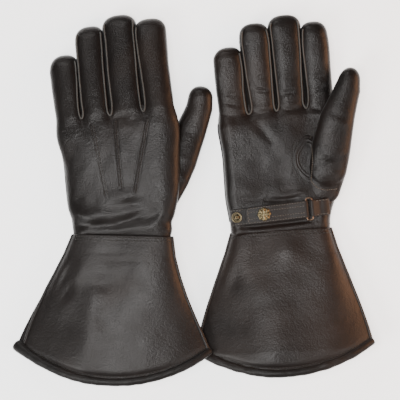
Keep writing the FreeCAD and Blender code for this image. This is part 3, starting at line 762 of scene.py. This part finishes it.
def thumb_field(glove, u, v, w):
    """Roughly signed distance to the thumb, as the least over the stretches of its centre line."""
    us, vs, rise, halves, steps = thumb_line(glove)
    total = steps[-1]
    tip_round, heel, heel_round = 12, 5, 7
    best = None
    for n in range(len(us) - 1):
        du, dv = us[n + 1] - us[n], vs[n + 1] - vs[n]
        span = math.hypot(du, dv)
        raw = ((u - us[n]) * du + (v - vs[n]) * dv) / span
        low = -1e3 if n == 0 else 0
        high = 1e3 if n == len(us) - 2 else span
        along = np.clip(raw, low, high)
        share = np.clip(along / span, 0, 1)
        across = np.hypot(u - us[n] - share * du, v - vs[n] - share * dv)
        flat = np.abs((u - us[n]) * dv - (v - vs[n]) * du) / span
        here = steps[n] + along
        half = halves[n] + (halves[n + 1] - halves[n]) * share
        centre = rise[n] + (rise[n + 1] - rise[n]) * share
        over = np.clip(here - (total - tip_round), 0, None) / tip_round
        under = np.clip(heel - here, 0, None) / heel_round
        side = np.where((raw < low) | (raw > high), across, flat)
        thick = np.interp(here, (0, 0.4 * total), (6.6, 9.0))
        reach = ((side / half) ** THUMB_POWER + (np.abs(w - centre) / thick) ** 2.3
                 + over ** 2.4 + under ** 3.0)
        value = (reach ** (1 / THUMB_POWER) - 1) * thick
        best = value if best is None else np.minimum(best, value)
    return best


def build_thumb(side, glove):
    """Both thumb panels, cut along the thumb's middle line, with one crease across the outer one."""
    palm = glove["palm"]
    low = (18, 20, 0)
    u, v, w = grid(low, (118, 172, 36))
    points, faces, _ = surface_nets(thumb_field(glove, u, v, w), low, GRID_STEP)
    points = relaxed(points, faces, 5)
    normals = vertex_normals(points, faces)
    us, vs, rise, _, steps = thumb_line(glove)
    height = waves(points, 21 + palm, 60) * 0.5 + waves(points, 25 + palm, 20) * 0.08
    share, reach, depth, width = 0.62, 13, 0.25, 3.0
    at = np.array([np.interp(share * steps[-1], steps, row) for row in (us, vs)])
    across = np.array([0.93, -0.36 + 0.3 * math.sin(9 * share)]) * reach
    line = [tuple(at - across), tuple(at + across)]
    height += crease(points[:, 0], points[:, 1], line, depth, width) * np.clip(normals[:, 2], 0, 1)
    points = points + normals * height[:, None]
    normals = vertex_normals(points, faces)
    middle = points[faces].mean(1)
    above = middle[:, 2] >= np.interp(middle[:, 1], vs, rise)
    for name, chosen in (("thumb_outer", above), ("thumb_inner", ~above)):
        obj = piece_of(f"{side}_{name}_skin", points, faces, normals, chosen, HAND_LEATHER, glove)
        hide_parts(f"{side}_{name}")
        blend_thumb(obj)
    return points, faces


def blend_thumb(obj):
    """Bakes the piece's placement into its mesh."""
    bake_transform(obj)


# ---------------------------------------------------------------- cuff

def cuff_size(glove, out):
    """Half width, half height and centre of the cuff's section at a distance from the wrist."""
    share = np.interp(out, (0, 20, 40, 60, 80, 100, 120, 156),
                      (0, 0.10, 0.255, 0.44, 0.655, 0.87, 1.07, 1.41))
    high = np.interp(out, (0, 40, 80, 120, 156), (10.6, 13.2, 16.5, 19.6, 20.6))
    lean = np.minimum(out / 120, 1)
    belly = np.sin(math.pi * np.clip(out / 130, 0, 1))
    half = glove["wrist_half"] - 0.3 + glove["flare"] * share + glove["belly"] * belly
    return half, high, glove["hem_shift"] * lean + glove["bow"] * belly


def cuff_point(glove, across, out, upper, inset=0.0):
    """Surface points in the cuff frame; across runs -1 to 1 between the side seams."""
    half, high, shift = cuff_size(glove, out)
    sharp = np.clip(out / 95, 0, 1)
    sharp = sharp * sharp * (3 - 2 * sharp)
    power, root = 9.5 - 7.4 * sharp ** 0.5, 0.5 + 0.42 * sharp
    profile = (1 - np.abs(across) ** power) ** root
    x = (half - 2.2 * inset) * across + shift
    z = glove["hem_rise"] * np.minimum(out / 120, 1) + upper * (high - inset) * profile
    spots = np.stack([x, -out, z], -1)
    seed = (31 if upper > 0 else 37) + glove["palm"]
    flat = spots.reshape(-1, 3)
    slack = (waves(flat * np.array((1, 0.2, 0.3)), seed, 70) * 0.6
             + waves(flat, seed + 1, 26) * 0.15).reshape(x.shape)
    flute = 0.9 * np.sin(across * 7 + seed) * np.exp(-((out - 22) / 22) ** 2)
    if glove["palm"] < 0:
        ripple = 2.4 * np.exp(-((across + 0.30) / 0.24) ** 2) * np.clip(out / 110, 0, 1) ** 1.5
    else:
        ripple = 1.6 * np.cos((across + 0.2) * 5.6) * np.clip(out / 110, 0, 1) ** 1.5
    ripple -= 2.0 * mound(across, out, -0.72, 48, 0.13, 16)
    ripple += 1.2 * mound(across, out, 0.05, 18, 0.25, 12)
    dents = np.zeros(x.shape)
    if upper > 0 and glove["palm"] < 0:
        for *place, height in CUFF_DENTS:
            dents += height * mound(across, out, *place)
    dip = 2.4 * np.exp(-((hem_out(glove, across) - out - 7.5) / 3.0) ** 2)
    spots[..., 2] += upper * ((slack * np.clip(out / 30, 0, 1) + flute + ripple + dents) * profile * 0.9
                              - dip * profile)
    corner = np.exp(-((across + 1) / 0.10) ** 2) * np.clip((out - glove["reach"] + 40) / 25, 0, 1) ** 2
    spots[..., 0] -= glove["curl"] * corner
    spots[..., 2] += 0.5 * glove["curl"] * corner
    return spots


def hem_out(glove, across):
    """Distance from the wrist to the curved hem along one line of the cuff."""
    out = np.full(np.shape(across), glove["reach"] - 20.0)
    for _ in range(30):
        half, _, _ = cuff_size(glove, out)
        rise = np.sqrt(np.maximum(HEM_RADIUS ** 2 - (half * across) ** 2, 1)) - HEM_RADIUS
        out = 0.5 * out + 0.5 * (rise + glove["reach"])
    return out


def sheet_faces(rows, columns, start=0):
    base = np.arange(rows * columns).reshape(rows, columns) + start
    return np.stack([base[:-1, :-1], base[:-1, 1:], base[1:, 1:], base[1:, :-1]], -1).reshape(-1, 4)


def build_cuff(side, glove):
    """Two closed panels between the side welts, with the hem, the welts and the wrist seam."""
    matrix, palm = cuff_matrix(glove), glove["palm"]
    across = np.sin(np.linspace(-1, 1, 121) * math.pi / 2)
    along = np.linspace(0, 1, 91)
    limit = hem_out(glove, across) - HEM_INSET
    out = along[:, None] * limit[None, :] - 0.6 * (1 - along[:, None])
    wide = np.broadcast_to(across, out.shape)
    rows, columns = out.shape
    count = rows * columns
    base = np.arange(count).reshape(rows, columns)
    loop = np.concatenate([base[0, :-1], base[:-1, -1], base[-1, :0:-1], base[:0:-1, 0]])
    ahead = np.roll(loop, -1)
    rim = np.stack([loop, ahead, ahead + count, loop + count], 1)[:, ::-1]
    faces = np.concatenate([sheet_faces(rows, columns), sheet_faces(rows, columns, count)[:, ::-1], rim])
    for upper in (1, -1):
        name = "cuff_back" if (upper > 0) == (palm < 0) else "cuff_palm"
        outer = cuff_point(glove, wide, out, upper).reshape(-1, 3)
        inner = cuff_point(glove, wide, out, upper, WALL).reshape(-1, 3)
        obj = make_mesh(f"{side}_{name}_panel", moved(np.concatenate([outer, inner]), matrix), faces,
                        CUFF_LEATHER, flip=upper > 0)
        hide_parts(f"{side}_{name}")
        blend_cuff(obj)
    build_hem(side, glove)
    build_welts(side, glove)
    build_wrist_seam(side, glove)


def blend_cuff(obj):
    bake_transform(obj)


def sweep(path, ups, wide, tall, closed, sides=14, soft=2.0):
    """Tube along a path; ups give the section's tall direction, and soft squares an oval section off."""
    path, ups = np.asarray(path, float), np.asarray(ups, float)
    ahead = np.roll(path, -1, 0) - np.roll(path, 1, 0)
    if not closed:
        ahead[0], ahead[-1] = path[1] - path[0], path[-1] - path[-2]
    ahead = unit(ahead)
    side = unit(np.cross(ahead, ups))
    ups = np.cross(side, ahead)
    turn = np.linspace(0, 2 * math.pi, sides, endpoint=False)
    c, s = np.cos(turn), np.sin(turn)
    c, s = np.sign(c) * np.abs(c) ** (2 / soft), np.sign(s) * np.abs(s) ** (2 / soft)
    wide = np.broadcast_to(wide, len(path))[:, None, None]
    tall = np.broadcast_to(tall, len(path))[:, None, None]
    rings = (path[:, None] + side[:, None] * (c[None, :, None] * wide)
             + ups[:, None] * (s[None, :, None] * tall))
    points = rings.reshape(-1, 3)
    count = len(path)
    faces = []
    for n in range(count if closed else count - 1):
        a, b = n * sides, ((n + 1) % count) * sides
        for m in range(sides):
            o = (m + 1) % sides
            faces.append((a + m, b + m, b + o, a + o))
    if not closed:
        faces.append(tuple(range(sides)))
        faces.append(tuple(reversed(range((count - 1) * sides, count * sides))))
    return points, faces


def build_hem(side, glove):
    """Rolled binding round the cuff's mouth."""
    matrix = cuff_matrix(glove)
    across = np.sin(np.linspace(-1, 1, 140) * math.pi / 2)
    out = hem_out(glove, across) - HEM_INSET
    upper = cuff_point(glove, across, out, 1, WALL / 2)
    lower = cuff_point(glove, across[::-1], out[::-1], -1, WALL / 2)
    path = np.concatenate([upper, lower[1:-1]])
    for _ in range(6):
        path = 0.5 * path + 0.25 * (np.roll(path, 1, 0) + np.roll(path, -1, 0))
    ups = np.concatenate([np.tile((0, 0, 1.0), (len(upper), 1)),
                          np.tile((0, 0, -1.0), (len(lower) - 2, 1))])
    for _ in range(4):
        ups = ups + np.roll(ups, 1, 0) + np.roll(ups, -1, 0)
    ups += np.array((0, 0, 1e-3))
    curled = np.exp(-((path[:, 0] - path[:, 0].min()) / 9) ** 2) * (glove["curl"] > 0)
    bulge = 1 + 0.05 * waves(path, 51 + glove["palm"], 15) + 0.35 * curled
    left = np.clip(-(path[:, 0] + 20) / 70, 0, 1) * (glove["curl"] > 0)
    bulge = bulge + 0.16 * left
    points, faces = sweep(path, ups, 4.1 * bulge, 3.8 * bulge, True, sides=18, soft=2.2)
    # The binding's darker leather is painted shade.
    obj = make_mesh(f"{side}_hem_binding", moved(points, matrix), faces, SHADED_HEM_LEATHER)
    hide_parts(f"{side}_cuff_hem")
    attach(obj, f"{side}_cuff")
    row = np.stack([cuff_point(glove, a, hem_out(glove, a) - 8.6, 1) for a in across[3:-3]])
    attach(stitch_row(f"{side}_hem_stitches", row, matrix, 3.2, lift=0.1), f"{side}_cuff")


def build_welts(side, glove):
    """Raised seam down each side of the cuff."""
    matrix = cuff_matrix(glove)
    points, faces = [], []
    for edge in (-1, 1):
        out = np.linspace(0, float(hem_out(glove, np.array(edge * 0.985))) - 6, 80)
        foot = 0.905 if edge < 0 and glove["curl"] > 0 else 0.975
        near = edge * np.interp(out, (0, 55, 130), (0.992, 0.985, foot))
        path = cuff_point(glove, near, out, 1)
        pts, fcs = sweep(path, np.tile((0, 0, 1.0), (len(path), 1)), 1.5, 1.5, False, sides=10)
        faces += [tuple(i + len(points) for i in face) for face in fcs]
        points += pts.tolist()
    obj = make_mesh(f"{side}_side_welts", moved(points, matrix), faces, CUFF_LEATHER)
    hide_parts(f"{side}_cuff_welts")
    blend_cuff(obj)


def build_wrist_seam(side, glove):
    """Two rows of stitching where the cuff laps over the hand, above and below."""
    matrix = cuff_matrix(glove)
    across = np.sin(np.linspace(-0.97, 0.97, 90) * math.pi / 2)
    for upper in (1, -1):
        tag = "top" if upper > 0 else "under"
        for number, out in enumerate((1.6, 4.6)):
            row = cuff_point(glove, across, np.full(across.shape, out), upper)
            obj = stitch_row(f"{side}_wrist_stitches_{tag}_{number}", row, matrix, 2.8, upper, 0.18, 0.46)
            blend_cuff(obj)


# ---------------------------------------------------------------- stitching

def stitch_row(name, path, matrix, pitch, upper=1, lift=0.15, radius=0.36, flip=False, material=THREAD):
    """Small rounded stitches end to end along a path."""
    path = resampled(path, pitch)
    start, end = path[:-1], path[1:]
    length = np.linalg.norm(end - start, axis=1, keepdims=True)
    ahead = unit(end - start)
    side = unit(np.cross(ahead, np.broadcast_to((0.0, 0.0, upper), ahead.shape)))
    top = np.cross(side, ahead)
    profile = ((-0.39, 0.25), (-0.3, 0.85), (0.0, 1.0), (0.3, 0.85), (0.39, 0.25))
    sides = 6
    turn = np.linspace(0, 2 * math.pi, sides, endpoint=False)
    rings = []
    for along, share in profile:
        centre = (start + end) / 2 + ahead * (along * length) + top * lift
        rings.append(centre[:, None] + radius * share * (side[:, None] * np.cos(turn)[None, :, None]
                                                         + top[:, None] * np.sin(turn)[None, :, None]))
    points = np.stack(rings, 1).reshape(-1, 3)
    faces = []
    for n in range(len(start)):
        first = n * len(profile) * sides
        faces += tube_faces(len(profile), sides, first) + end_faces(len(profile), sides, first)
    return make_mesh(name, moved(points, matrix), faces, material, flip=flip)


def hand_stitches(name, path, glove, pitch, upper, lift, radius, material=THREAD):
    """Stitches along a path in a glove's own frame."""
    return stitch_row(name, path, hand_matrix(glove), pitch, upper, lift, radius, glove["palm"] < 0, material)


def on_skin(trees, u, v, side, lift=0.0):
    """Point where a straight drop onto the glove meets its skin; side 1 is the palm, -1 the back."""
    best = None
    for tree in trees:
        hit, normal, _, _ = tree.ray_cast(Vector((u, v, 90 * side)), Vector((0, 0, -side)))
        if hit is not None and (best is None or hit.z * side > best[0].z * side):
            best = (hit, normal)
    if best is None:
        return None
    spot, normal = best
    if normal.z * side < 0:
        normal = -normal
    return np.array(spot + normal * lift)


def seam(trees, line, side, shift=0.0, lift=0.0):
    """Skin points under a plan line, moved sideways by shift."""
    plan = resampled([(*spot, 0.0) for spot in line], 0.9)[:, :2]
    ahead = unit(np.gradient(plan, axis=0))
    plan = plan + np.stack([-ahead[:, 1], ahead[:, 0]], 1) * shift
    spots = [on_skin(trees, u, v, side, lift) for u, v in plan]
    return np.array([spot for spot in spots if spot is not None])


def build_hand_stitching(side, glove, trees):
    """Double rows beside the back's three points, and rows round the thumb's base and its quirk."""
    rides = f"{side}_hand"
    for number, line in enumerate(POINTS):
        for row_name, shift in (("a", -1.3), ("b", 1.3)):
            row = seam(trees[:1], line, -1, shift=shift)
            name = f"{side}_point_{number}_row_{row_name}"
            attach(hand_stitches(name, row, glove, 2.4, -1, 0.16, 0.45), rides)
    for number, shift in enumerate((-1.2, 2.8)):
        row = seam(trees[:1], QUIRK_SIDE, 1, shift=shift, lift=0.3)
        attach(hand_stitches(f"{side}_quirk_row_{number}", row, glove, 2.2, 1, 0.1, 0.36), rides)
    base = seam(trees, THUMB_BASE, 1)
    obj = hand_stitches(f"{side}_thumb_base_row", base, glove, 2.2, 1, 0.1, 0.36, EDGE_THREAD)
    blend_thumb(obj)


def build_side_seam(side, glove, trees):
    """Piped seam down the little-finger side of the hand."""
    path = []
    for v in np.arange(13, 113, 1.0):
        hit, _, _, _ = trees[0].ray_cast(Vector((-90, v, 0.5)), Vector((1, 0, 0)))
        if hit is not None:
            path.append(tuple(hit))
    path = eased(np.array(path), 4)
    points, faces = sweep(path, np.tile((-1.0, 0, 0), (len(path), 1)), 0.9, 0.8, False, sides=12)
    # The seam's darker leather is painted shade.
    obj = hand_mesh(f"{side}_side_seam", points, faces, SHADED_HEM_LEATHER, glove)
    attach(obj, f"{side}_hand")


def build_quirk(side, glove, trees):
    """Lens-shaped leaf of leather let in beside the thumb, with two ridges inside its edge."""
    rings, turns = 36, 72
    middle_u, middle_v = QUIRK_CENTRE
    rows = []
    for ring in range(rings):
        r = 1 - ring / rings * 0.999
        ridges = math.exp(-((r - 0.82) / 0.035) ** 2) + 0.8 * math.exp(-((r - 0.68) / 0.035) ** 2)
        lift = 0.1 + 0.45 * (1 - r ** 6) ** 0.5 + 0.4 * ridges
        for n in range(turns):
            angle = 2 * math.pi * n / turns
            u = middle_u + QUIRK_HALF * r * math.cos(angle) * (1 - 0.38 * math.sin(angle) ** 2)
            v = middle_v + QUIRK_LONG * r * math.sin(angle)
            spot = on_skin(trees[:1], u, v, 1, lift)
            rows.append(spot if spot is not None else (u, v, HAND_HALF))
    faces = tube_faces(rings, turns) + end_faces(rings, turns)[1:]
    start = len(rows)
    under = [on_skin(trees[:1], p[0], p[1], 1, -0.8) for p in rows[:turns]]
    rows += [p if p is not None else rows[n] for n, p in enumerate(under)]
    for n in range(turns):
        o = (n + 1) % turns
        faces.append((start + n, start + o, o, n))
    faces.append(tuple(start + n for n in reversed(range(turns))))
    obj = hand_mesh(f"{side}_quirk_leaf", [tuple(p) for p in rows], faces, HAND_LEATHER, glove)
    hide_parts(f"{side}_thumb_gusset")
    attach(obj, f"{side}_hand")


def build_finger_seams(side, glove, finger_trees):
    """Standing raw-edge seams along both sides of every gap between fingers, back and palm."""
    for low_name, high_name in zip(ACROSS[:-1], ACROSS[1:]):
        low_centre, low_half = finger_span(glove, low_name, np.array(SPLIT))
        high_centre, high_half = finger_span(glove, high_name, np.array(SPLIT))
        fork = float(low_centre + low_half + (high_centre - high_half)) / 2
        for name, hand_side in ((low_name, 1), (high_name, -1)):
            for face, tag in ((-1, "back"), (1, "palm")):
                level = "high" if hand_side > 0 else "low"
                obj = edge_ribbon(f"{side}_{name}_{level}_{tag}_edge", glove, name, hand_side, face, fork,
                                  finger_trees[name])
                blend_finger(obj)


def edge_ribbon(piece, glove, name, hand_side, face, fork, tree):
    """Cut edges of two leathers sewn together, standing up from the skin of one finger."""
    tip = glove["fingers"][name][0][-1]
    vs = np.arange(tip - 6.5, SPLIT - 2, -1.5)
    centre, half = finger_span(glove, name, vs)
    inset = np.interp(vs, (SPLIT, SPLIT + 60), (2.6, 1.0))
    guess = np.stack([centre + hand_side * (half - inset), vs, finger_curl(glove, name, vs) + face * 8.5], 1)
    edge = float(guess[-1, 0])
    loop = [(edge + (fork - edge) * t, SPLIT - 3 - 3.6 * math.sin(t * math.pi / 2), face * 8.4)
            for t in (0.3, 0.65, 1.0)]
    path, ups = [], []
    for spot in list(map(tuple, guess)) + loop:
        hit, normal, _, _ = tree.find_nearest(Vector(spot))
        path.append(np.array(hit + normal * 0.35))
        ups.append(np.array(normal) + np.array((0, 0, 0.8 * face)))
    wide, tall = 0.72, 1.15
    points, faces = sweep(eased(np.array(path), 1), np.array(ups), wide, tall, False, sides=8, soft=3)
    return hand_mesh(piece, points, faces, RAW_EDGE, glove)


# ---------------------------------------------------------------- strap, ring and snaps

def palm_drop(u):
    """How far the palm has rounded off below its flat height at a distance across the hand."""
    over = np.clip(np.abs(u - 2.0) - 42.0, 0, 9.5)
    return HAND_HALF * (1 - np.sqrt(1 - (over / 10.5) ** 2))


def strap_v(u):
    """The strap's middle line climbs a little toward the thumb."""
    return STRAP_V + STRAP_TILT * u


def strap_path(knots):
    """Smooth side view of a strap: points u, height above the palm."""
    path = eased(resampled([(u, STRAP_V, HAND_HALF + h) for u, h in knots], 0.8), 3)
    path[:, 2] -= palm_drop(path[:, 0])
    path[:, 1] += STRAP_TILT * path[:, 0]
    return path


def strap_normals(path):
    ahead = np.gradient(path, axis=0)
    return unit(np.stack([-ahead[:, 2], 0 * ahead[:, 0], ahead[:, 0]], 1))


def strap_piece(name, node, body, glove, knots, thick, round_start=0.0, half=8.5):
    """Strap of folded leather with rounded edges; its first end may have rounded corners."""
    path = strap_path(knots)
    ups = strap_normals(path)
    wide = np.full(len(path), half)
    if round_start:
        short = np.clip(round_start - steps_along(path), 0, round_start)
        wide = half - round_start + np.sqrt(np.maximum(round_start ** 2 - short ** 2, 0.04))
    wide = wide + 0.12 * waves(path, 61, 18)
    points, faces = sweep(path, ups, wide, thick / 2, False, sides=40, soft=5.0)
    obj = hand_mesh(name, points, faces, STRAP_LEATHER, glove)
    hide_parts(node)
    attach(obj, body)
    return path, ups, wide


def strap_rows(name, body, glove, path, ups, wide, thick, chosen, insets):
    """Stitch rows along a stretch of a strap's upper face, each set in from one side."""
    for number, inset in enumerate(insets):
        row = path[chosen] + ups[chosen] * (thick / 2)
        row = row + np.stack([0 * wide, np.sign(inset) * wide - inset, 0 * wide], 1)[chosen]
        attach(hand_stitches(f"{name}_{number}", row, glove, 2.4, 1, 0.14, 0.42, STRAP_THREAD), body)


def ring_bend(u, way, degrees):
    """Side view of leather going round one side of the ring."""
    return [(u + way * BEND_RADIUS * math.sin(a), RING_LIFT + BEND_RADIUS * math.cos(a))
            for a in np.radians(degrees)]


def build_strap(side, glove):
    """Base strap, doubled flap and ring tab, then the ring and the snaps."""
    hand, flap = f"{side}_hand", f"{side}_strap_flap"
    path, ups, wide = strap_piece(f"{side}_strap_base", f"{side}_wrist_strap", hand, glove,
                                  [(-49.5, 0.9), (-20, 0.9), (24, 0.9)], STRAP_THICK)
    strap_rows(f"{side}_base_row", hand, glove, path, ups, wide, STRAP_THICK, slice(2, 22), (1.5, -1.5))
    knots = [(-34.5, 4.2), (-24, 5.6), (-16, 6.6), (-8, 6.4), (8, 5.6), (22, 6.3)]
    path, ups, wide = strap_piece(f"{side}_strap_doubled", f"{side}_strap_flap", flap, glove,
                                  knots + ring_bend(RING_U, 1, range(0, 226, 15)), STRAP_THICK, 4.2)
    strap_rows(f"{side}_flap_row", flap, glove, path, ups, wide, STRAP_THICK, slice(3, 74),
               (1.3, -1.3, 5.2, -5.2))
    end = 3
    across = np.linspace(-6.6, 6.6, 12)[:, None] * np.array((0, 1.0, 0))
    row = path[end] + ups[end] * (STRAP_THICK / 2) + across
    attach(hand_stitches(f"{side}_flap_end_row", row, glove, 2.4, 1, 0.14, 0.38, STRAP_THREAD), flap)
    knots = ring_bend(RING_U + RING_SPAN, -1, range(240, -1, -15)) + [(36.5, 4.6), (40, 2.9), (50, 2.4)]
    path, ups, wide = strap_piece(f"{side}_ring_loop", f"{side}_ring_tab", hand, glove, knots, TAB_THICK,
                                  half=8.3)
    strap_rows(f"{side}_tab_row", hand, glove, path, ups, wide, TAB_THICK, slice(14, 30), (1.4, -1.4))
    build_ring(side, glove)
    build_snaps(side, glove)


def build_ring(side, glove):
    """Rectangular wire ring."""
    path = []
    for quarter, (cu, cv) in enumerate(((1, -1), (1, 1), (-1, 1), (-1, -1))):
        u = RING_U + (RING_SPAN / 2 + cu * (RING_SPAN / 2 - RING_CORNER))
        v = strap_v(RING_U) + cv * (RING_TALL / 2 - RING_CORNER)
        for angle in np.radians(np.arange(0, 91, 15) + 90 * quarter - 90):
            path.append((u + RING_CORNER * math.cos(angle), v + RING_CORNER * math.sin(angle),
                         HAND_HALF + RING_LIFT))
    path = resampled(np.array(path + path[:1]), 0.8)[:-1]
    points, faces = sweep(path, np.tile((0, 0, 1.0), (len(path), 1)), 0.9, 0.85, True, sides=12)
    obj = hand_mesh(f"{side}_ring", points, faces, COPPER, glove)
    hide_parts(f"{side}_strap_ring")
    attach(obj, f"{side}_strap_ring")


def turned_part(name, glove, u, profile, material, pattern=None):
    """Solid of revolution standing on the strap line; pattern(r, angle) scales it and adds height."""
    turns = 72
    points = []
    for r, h in profile:
        for n in range(turns):
            angle = 2 * math.pi * n / turns
            scale, rise = pattern(r, angle) if pattern else (1.0, 0.0)
            points.append((u + r * scale * math.cos(angle), strap_v(u) + r * scale * math.sin(angle),
                           HAND_HALF + h + rise))
    faces = tube_faces(len(profile), turns) + end_faces(len(profile), turns)
    return hand_mesh(name, points, faces, material, glove)


def medallion(r, angle):
    """Generic eight-lobed flower: scalloped rim, raised petals and a beaded centre."""
    share = r / 7.0
    scale = 1 - 0.11 * share ** 4 * (1 - math.cos(8 * angle)) / 2
    petals = 0.42 * math.cos(8 * angle) * math.exp(-((share - 0.66) / 0.17) ** 2)
    beads = 0.25 * math.cos(4 * angle + 0.6) * math.exp(-((share - 0.33) / 0.12) ** 2)
    ring = 0.22 * math.exp(-((share - 0.46) / 0.05) ** 2)
    return scale, petals + beads + ring


def build_snaps(side, glove):
    """Medallion cap and socket on the flap, and two studs on the base strap."""
    hand, flap = f"{side}_hand", f"{side}_strap_flap"
    dome = [(6.9 * math.cos(a), 0.75 + 1.35 * math.sin(a)) for a in np.linspace(0.12, 1.50, 22)]
    dome = [(6.6, 0.0), (7.0, 0.35), (6.95, 0.7)] + dome + [(0.2, 2.1)]
    cap_lift, stud_lift = 7.3, 1.5
    dome = [(r, cap_lift + h) for r, h in dome]
    cap = turned_part(f"{side}_medallion", glove, SNAP_U, dome, BRASS, medallion)
    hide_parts(f"{side}_snap_cap")
    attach(cap, flap)
    rim = [(2.6, 3.5), (4.6, 3.5), (5.0, 3.9), (5.0, 5.6), (4.4, 5.8), (2.6, 5.8), (2.6, 3.6)]
    socket = turned_part(f"{side}_socket_cup", glove, SNAP_U, rim, STEEL)
    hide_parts(f"{side}_snap_socket")
    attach(socket, flap)
    profile = [(5.3, 0.0), (5.4, 0.3), (5.2, 0.7), (4.6, 0.85), (4.1, 0.6), (3.2, 0.5), (2.5, 0.7),
               (2.2, 1.4), (2.35, 2.2), (2.1, 2.9), (1.4, 3.2), (0.9, 3.2), (0.7, 2.7), (0.15, 2.6)]
    profile = [(r, stud_lift + h) for r, h in profile]
    for number, u in enumerate((SNAP_U, SPARE_STUD_U)):
        stud = turned_part(f"{side}_stud_{number}", glove, u, profile, STEEL)
        if number:
            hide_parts(f"{side}_snap_studs")
        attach(stud, hand)


# ---------------------------------------------------------------- stage

def build_stage():
    """Pale floor, soft studio lights, one warm light from the side, and the camera overhead."""
    floor_material = bpy.data.materials.new("floor")
    floor_material.use_nodes = True
    shader = floor_material.node_tree.nodes["Principled BSDF"]
    shader.inputs["Base Color"].default_value = (0.97, 0.97, 0.97, 1)
    shader.inputs["Roughness"].default_value = 0.9
    shader.inputs["Emission Color"].default_value = (1, 1, 1, 1)
    shader.inputs["Emission Strength"].default_value = 1.9
    mesh = bpy.data.meshes.new("floor")
    mesh.from_pydata([(-4, -4, 0), (4, -4, 0), (4, 4, 0), (-4, 4, 0)], [], [(0, 1, 2, 3)])
    floor = bpy.data.objects.new("floor", mesh)
    mesh.materials.append(floor_material)
    bpy.context.scene.collection.objects.link(floor)
    floor.location.z = -0.0004

    world = bpy.data.worlds.new("studio")
    world.use_nodes = True
    world.node_tree.nodes["Background"].inputs["Color"].default_value = (1, 1, 1, 1)
    world.node_tree.nodes["Background"].inputs["Strength"].default_value = 0.08
    bpy.context.scene.world = world

    def area(name, spot, aim, size, power, colour):
        light = bpy.data.lights.new(name, "AREA")
        light.shape = "SQUARE"
        light.size = size
        light.energy = power
        light.color = colour
        obj = bpy.data.objects.new(name, light)
        obj.location = spot
        obj.rotation_euler = (Vector(aim) - Vector(spot)).to_track_quat("-Z", "Y").to_euler()
        bpy.context.scene.collection.objects.link(obj)

    area("top", (-0.17, -0.06, 1.30), (-0.06, -0.03, 0), 0.36, 10.6, (1, 0.99, 0.98))
    area("key", (-0.80, -0.62, 1.05), (-0.02, -0.05, 0), 0.6, 14.5, (1, 0.99, 0.97))
    area("back", (-0.5, 1.1, 1.1), (0, 0, 0), 0.6, 7, (1, 0.98, 0.96))
    area("fill", (0.9, -0.7, 1.2), (0, 0, 0), 1.0, 9, (1, 0.98, 0.96))
    area("warm_side", (0.9, 0.1, 0.42), (0.05, 0, 0.02), 0.5, 7.5, (1, 0.50, 0.26))

    camera = bpy.data.cameras.new("camera")
    camera.lens = 178
    camera.sensor_width = 36
    eye = bpy.data.objects.new("camera", camera)
    eye.location = (0.00525, -0.0009, 2.0)
    bpy.context.scene.collection.objects.link(eye)
    bpy.context.scene.camera = eye


def tree_of(points, faces):
    return BVHTree.FromPolygons(points.tolist(), faces.tolist())


for side, glove in GLOVES.items():
    skin_points, skin_faces, owner = build_skin(side, glove)
    thumb_points, thumb_faces = build_thumb(side, glove)
    trees = (tree_of(skin_points, skin_faces), tree_of(thumb_points, thumb_faces))
    build_hand_stitching(side, glove, trees)
    build_side_seam(side, glove, trees)
    build_quirk(side, glove, trees)
    finger_trees = {name: tree_of(skin_points, skin_faces[(owner == name) | (owner == "hand")])
                    for name in FINGERS}
    build_finger_seams(side, glove, finger_trees)
    build_strap(side, glove)
    build_cuff(side, glove)

SLOT_MATERIALS = {"glove_leather": HAND_LEATHER, "cuff_leather": CUFF_LEATHER, "strip_leather": STRIP_LEATHER,
                  "strap_leather": STRAP_LEATHER, "antique_brass": BRASS, "ring_wire": COPPER,
                  "snap_metal": STEEL}
for entry in frame["record"]["subparts"]:
    obj = frame["nodes"][entry["node"]]
    obj.data.materials.clear()
    obj.data.materials.append(SLOT_MATERIALS[entry["material_slot"]])

build_stage()
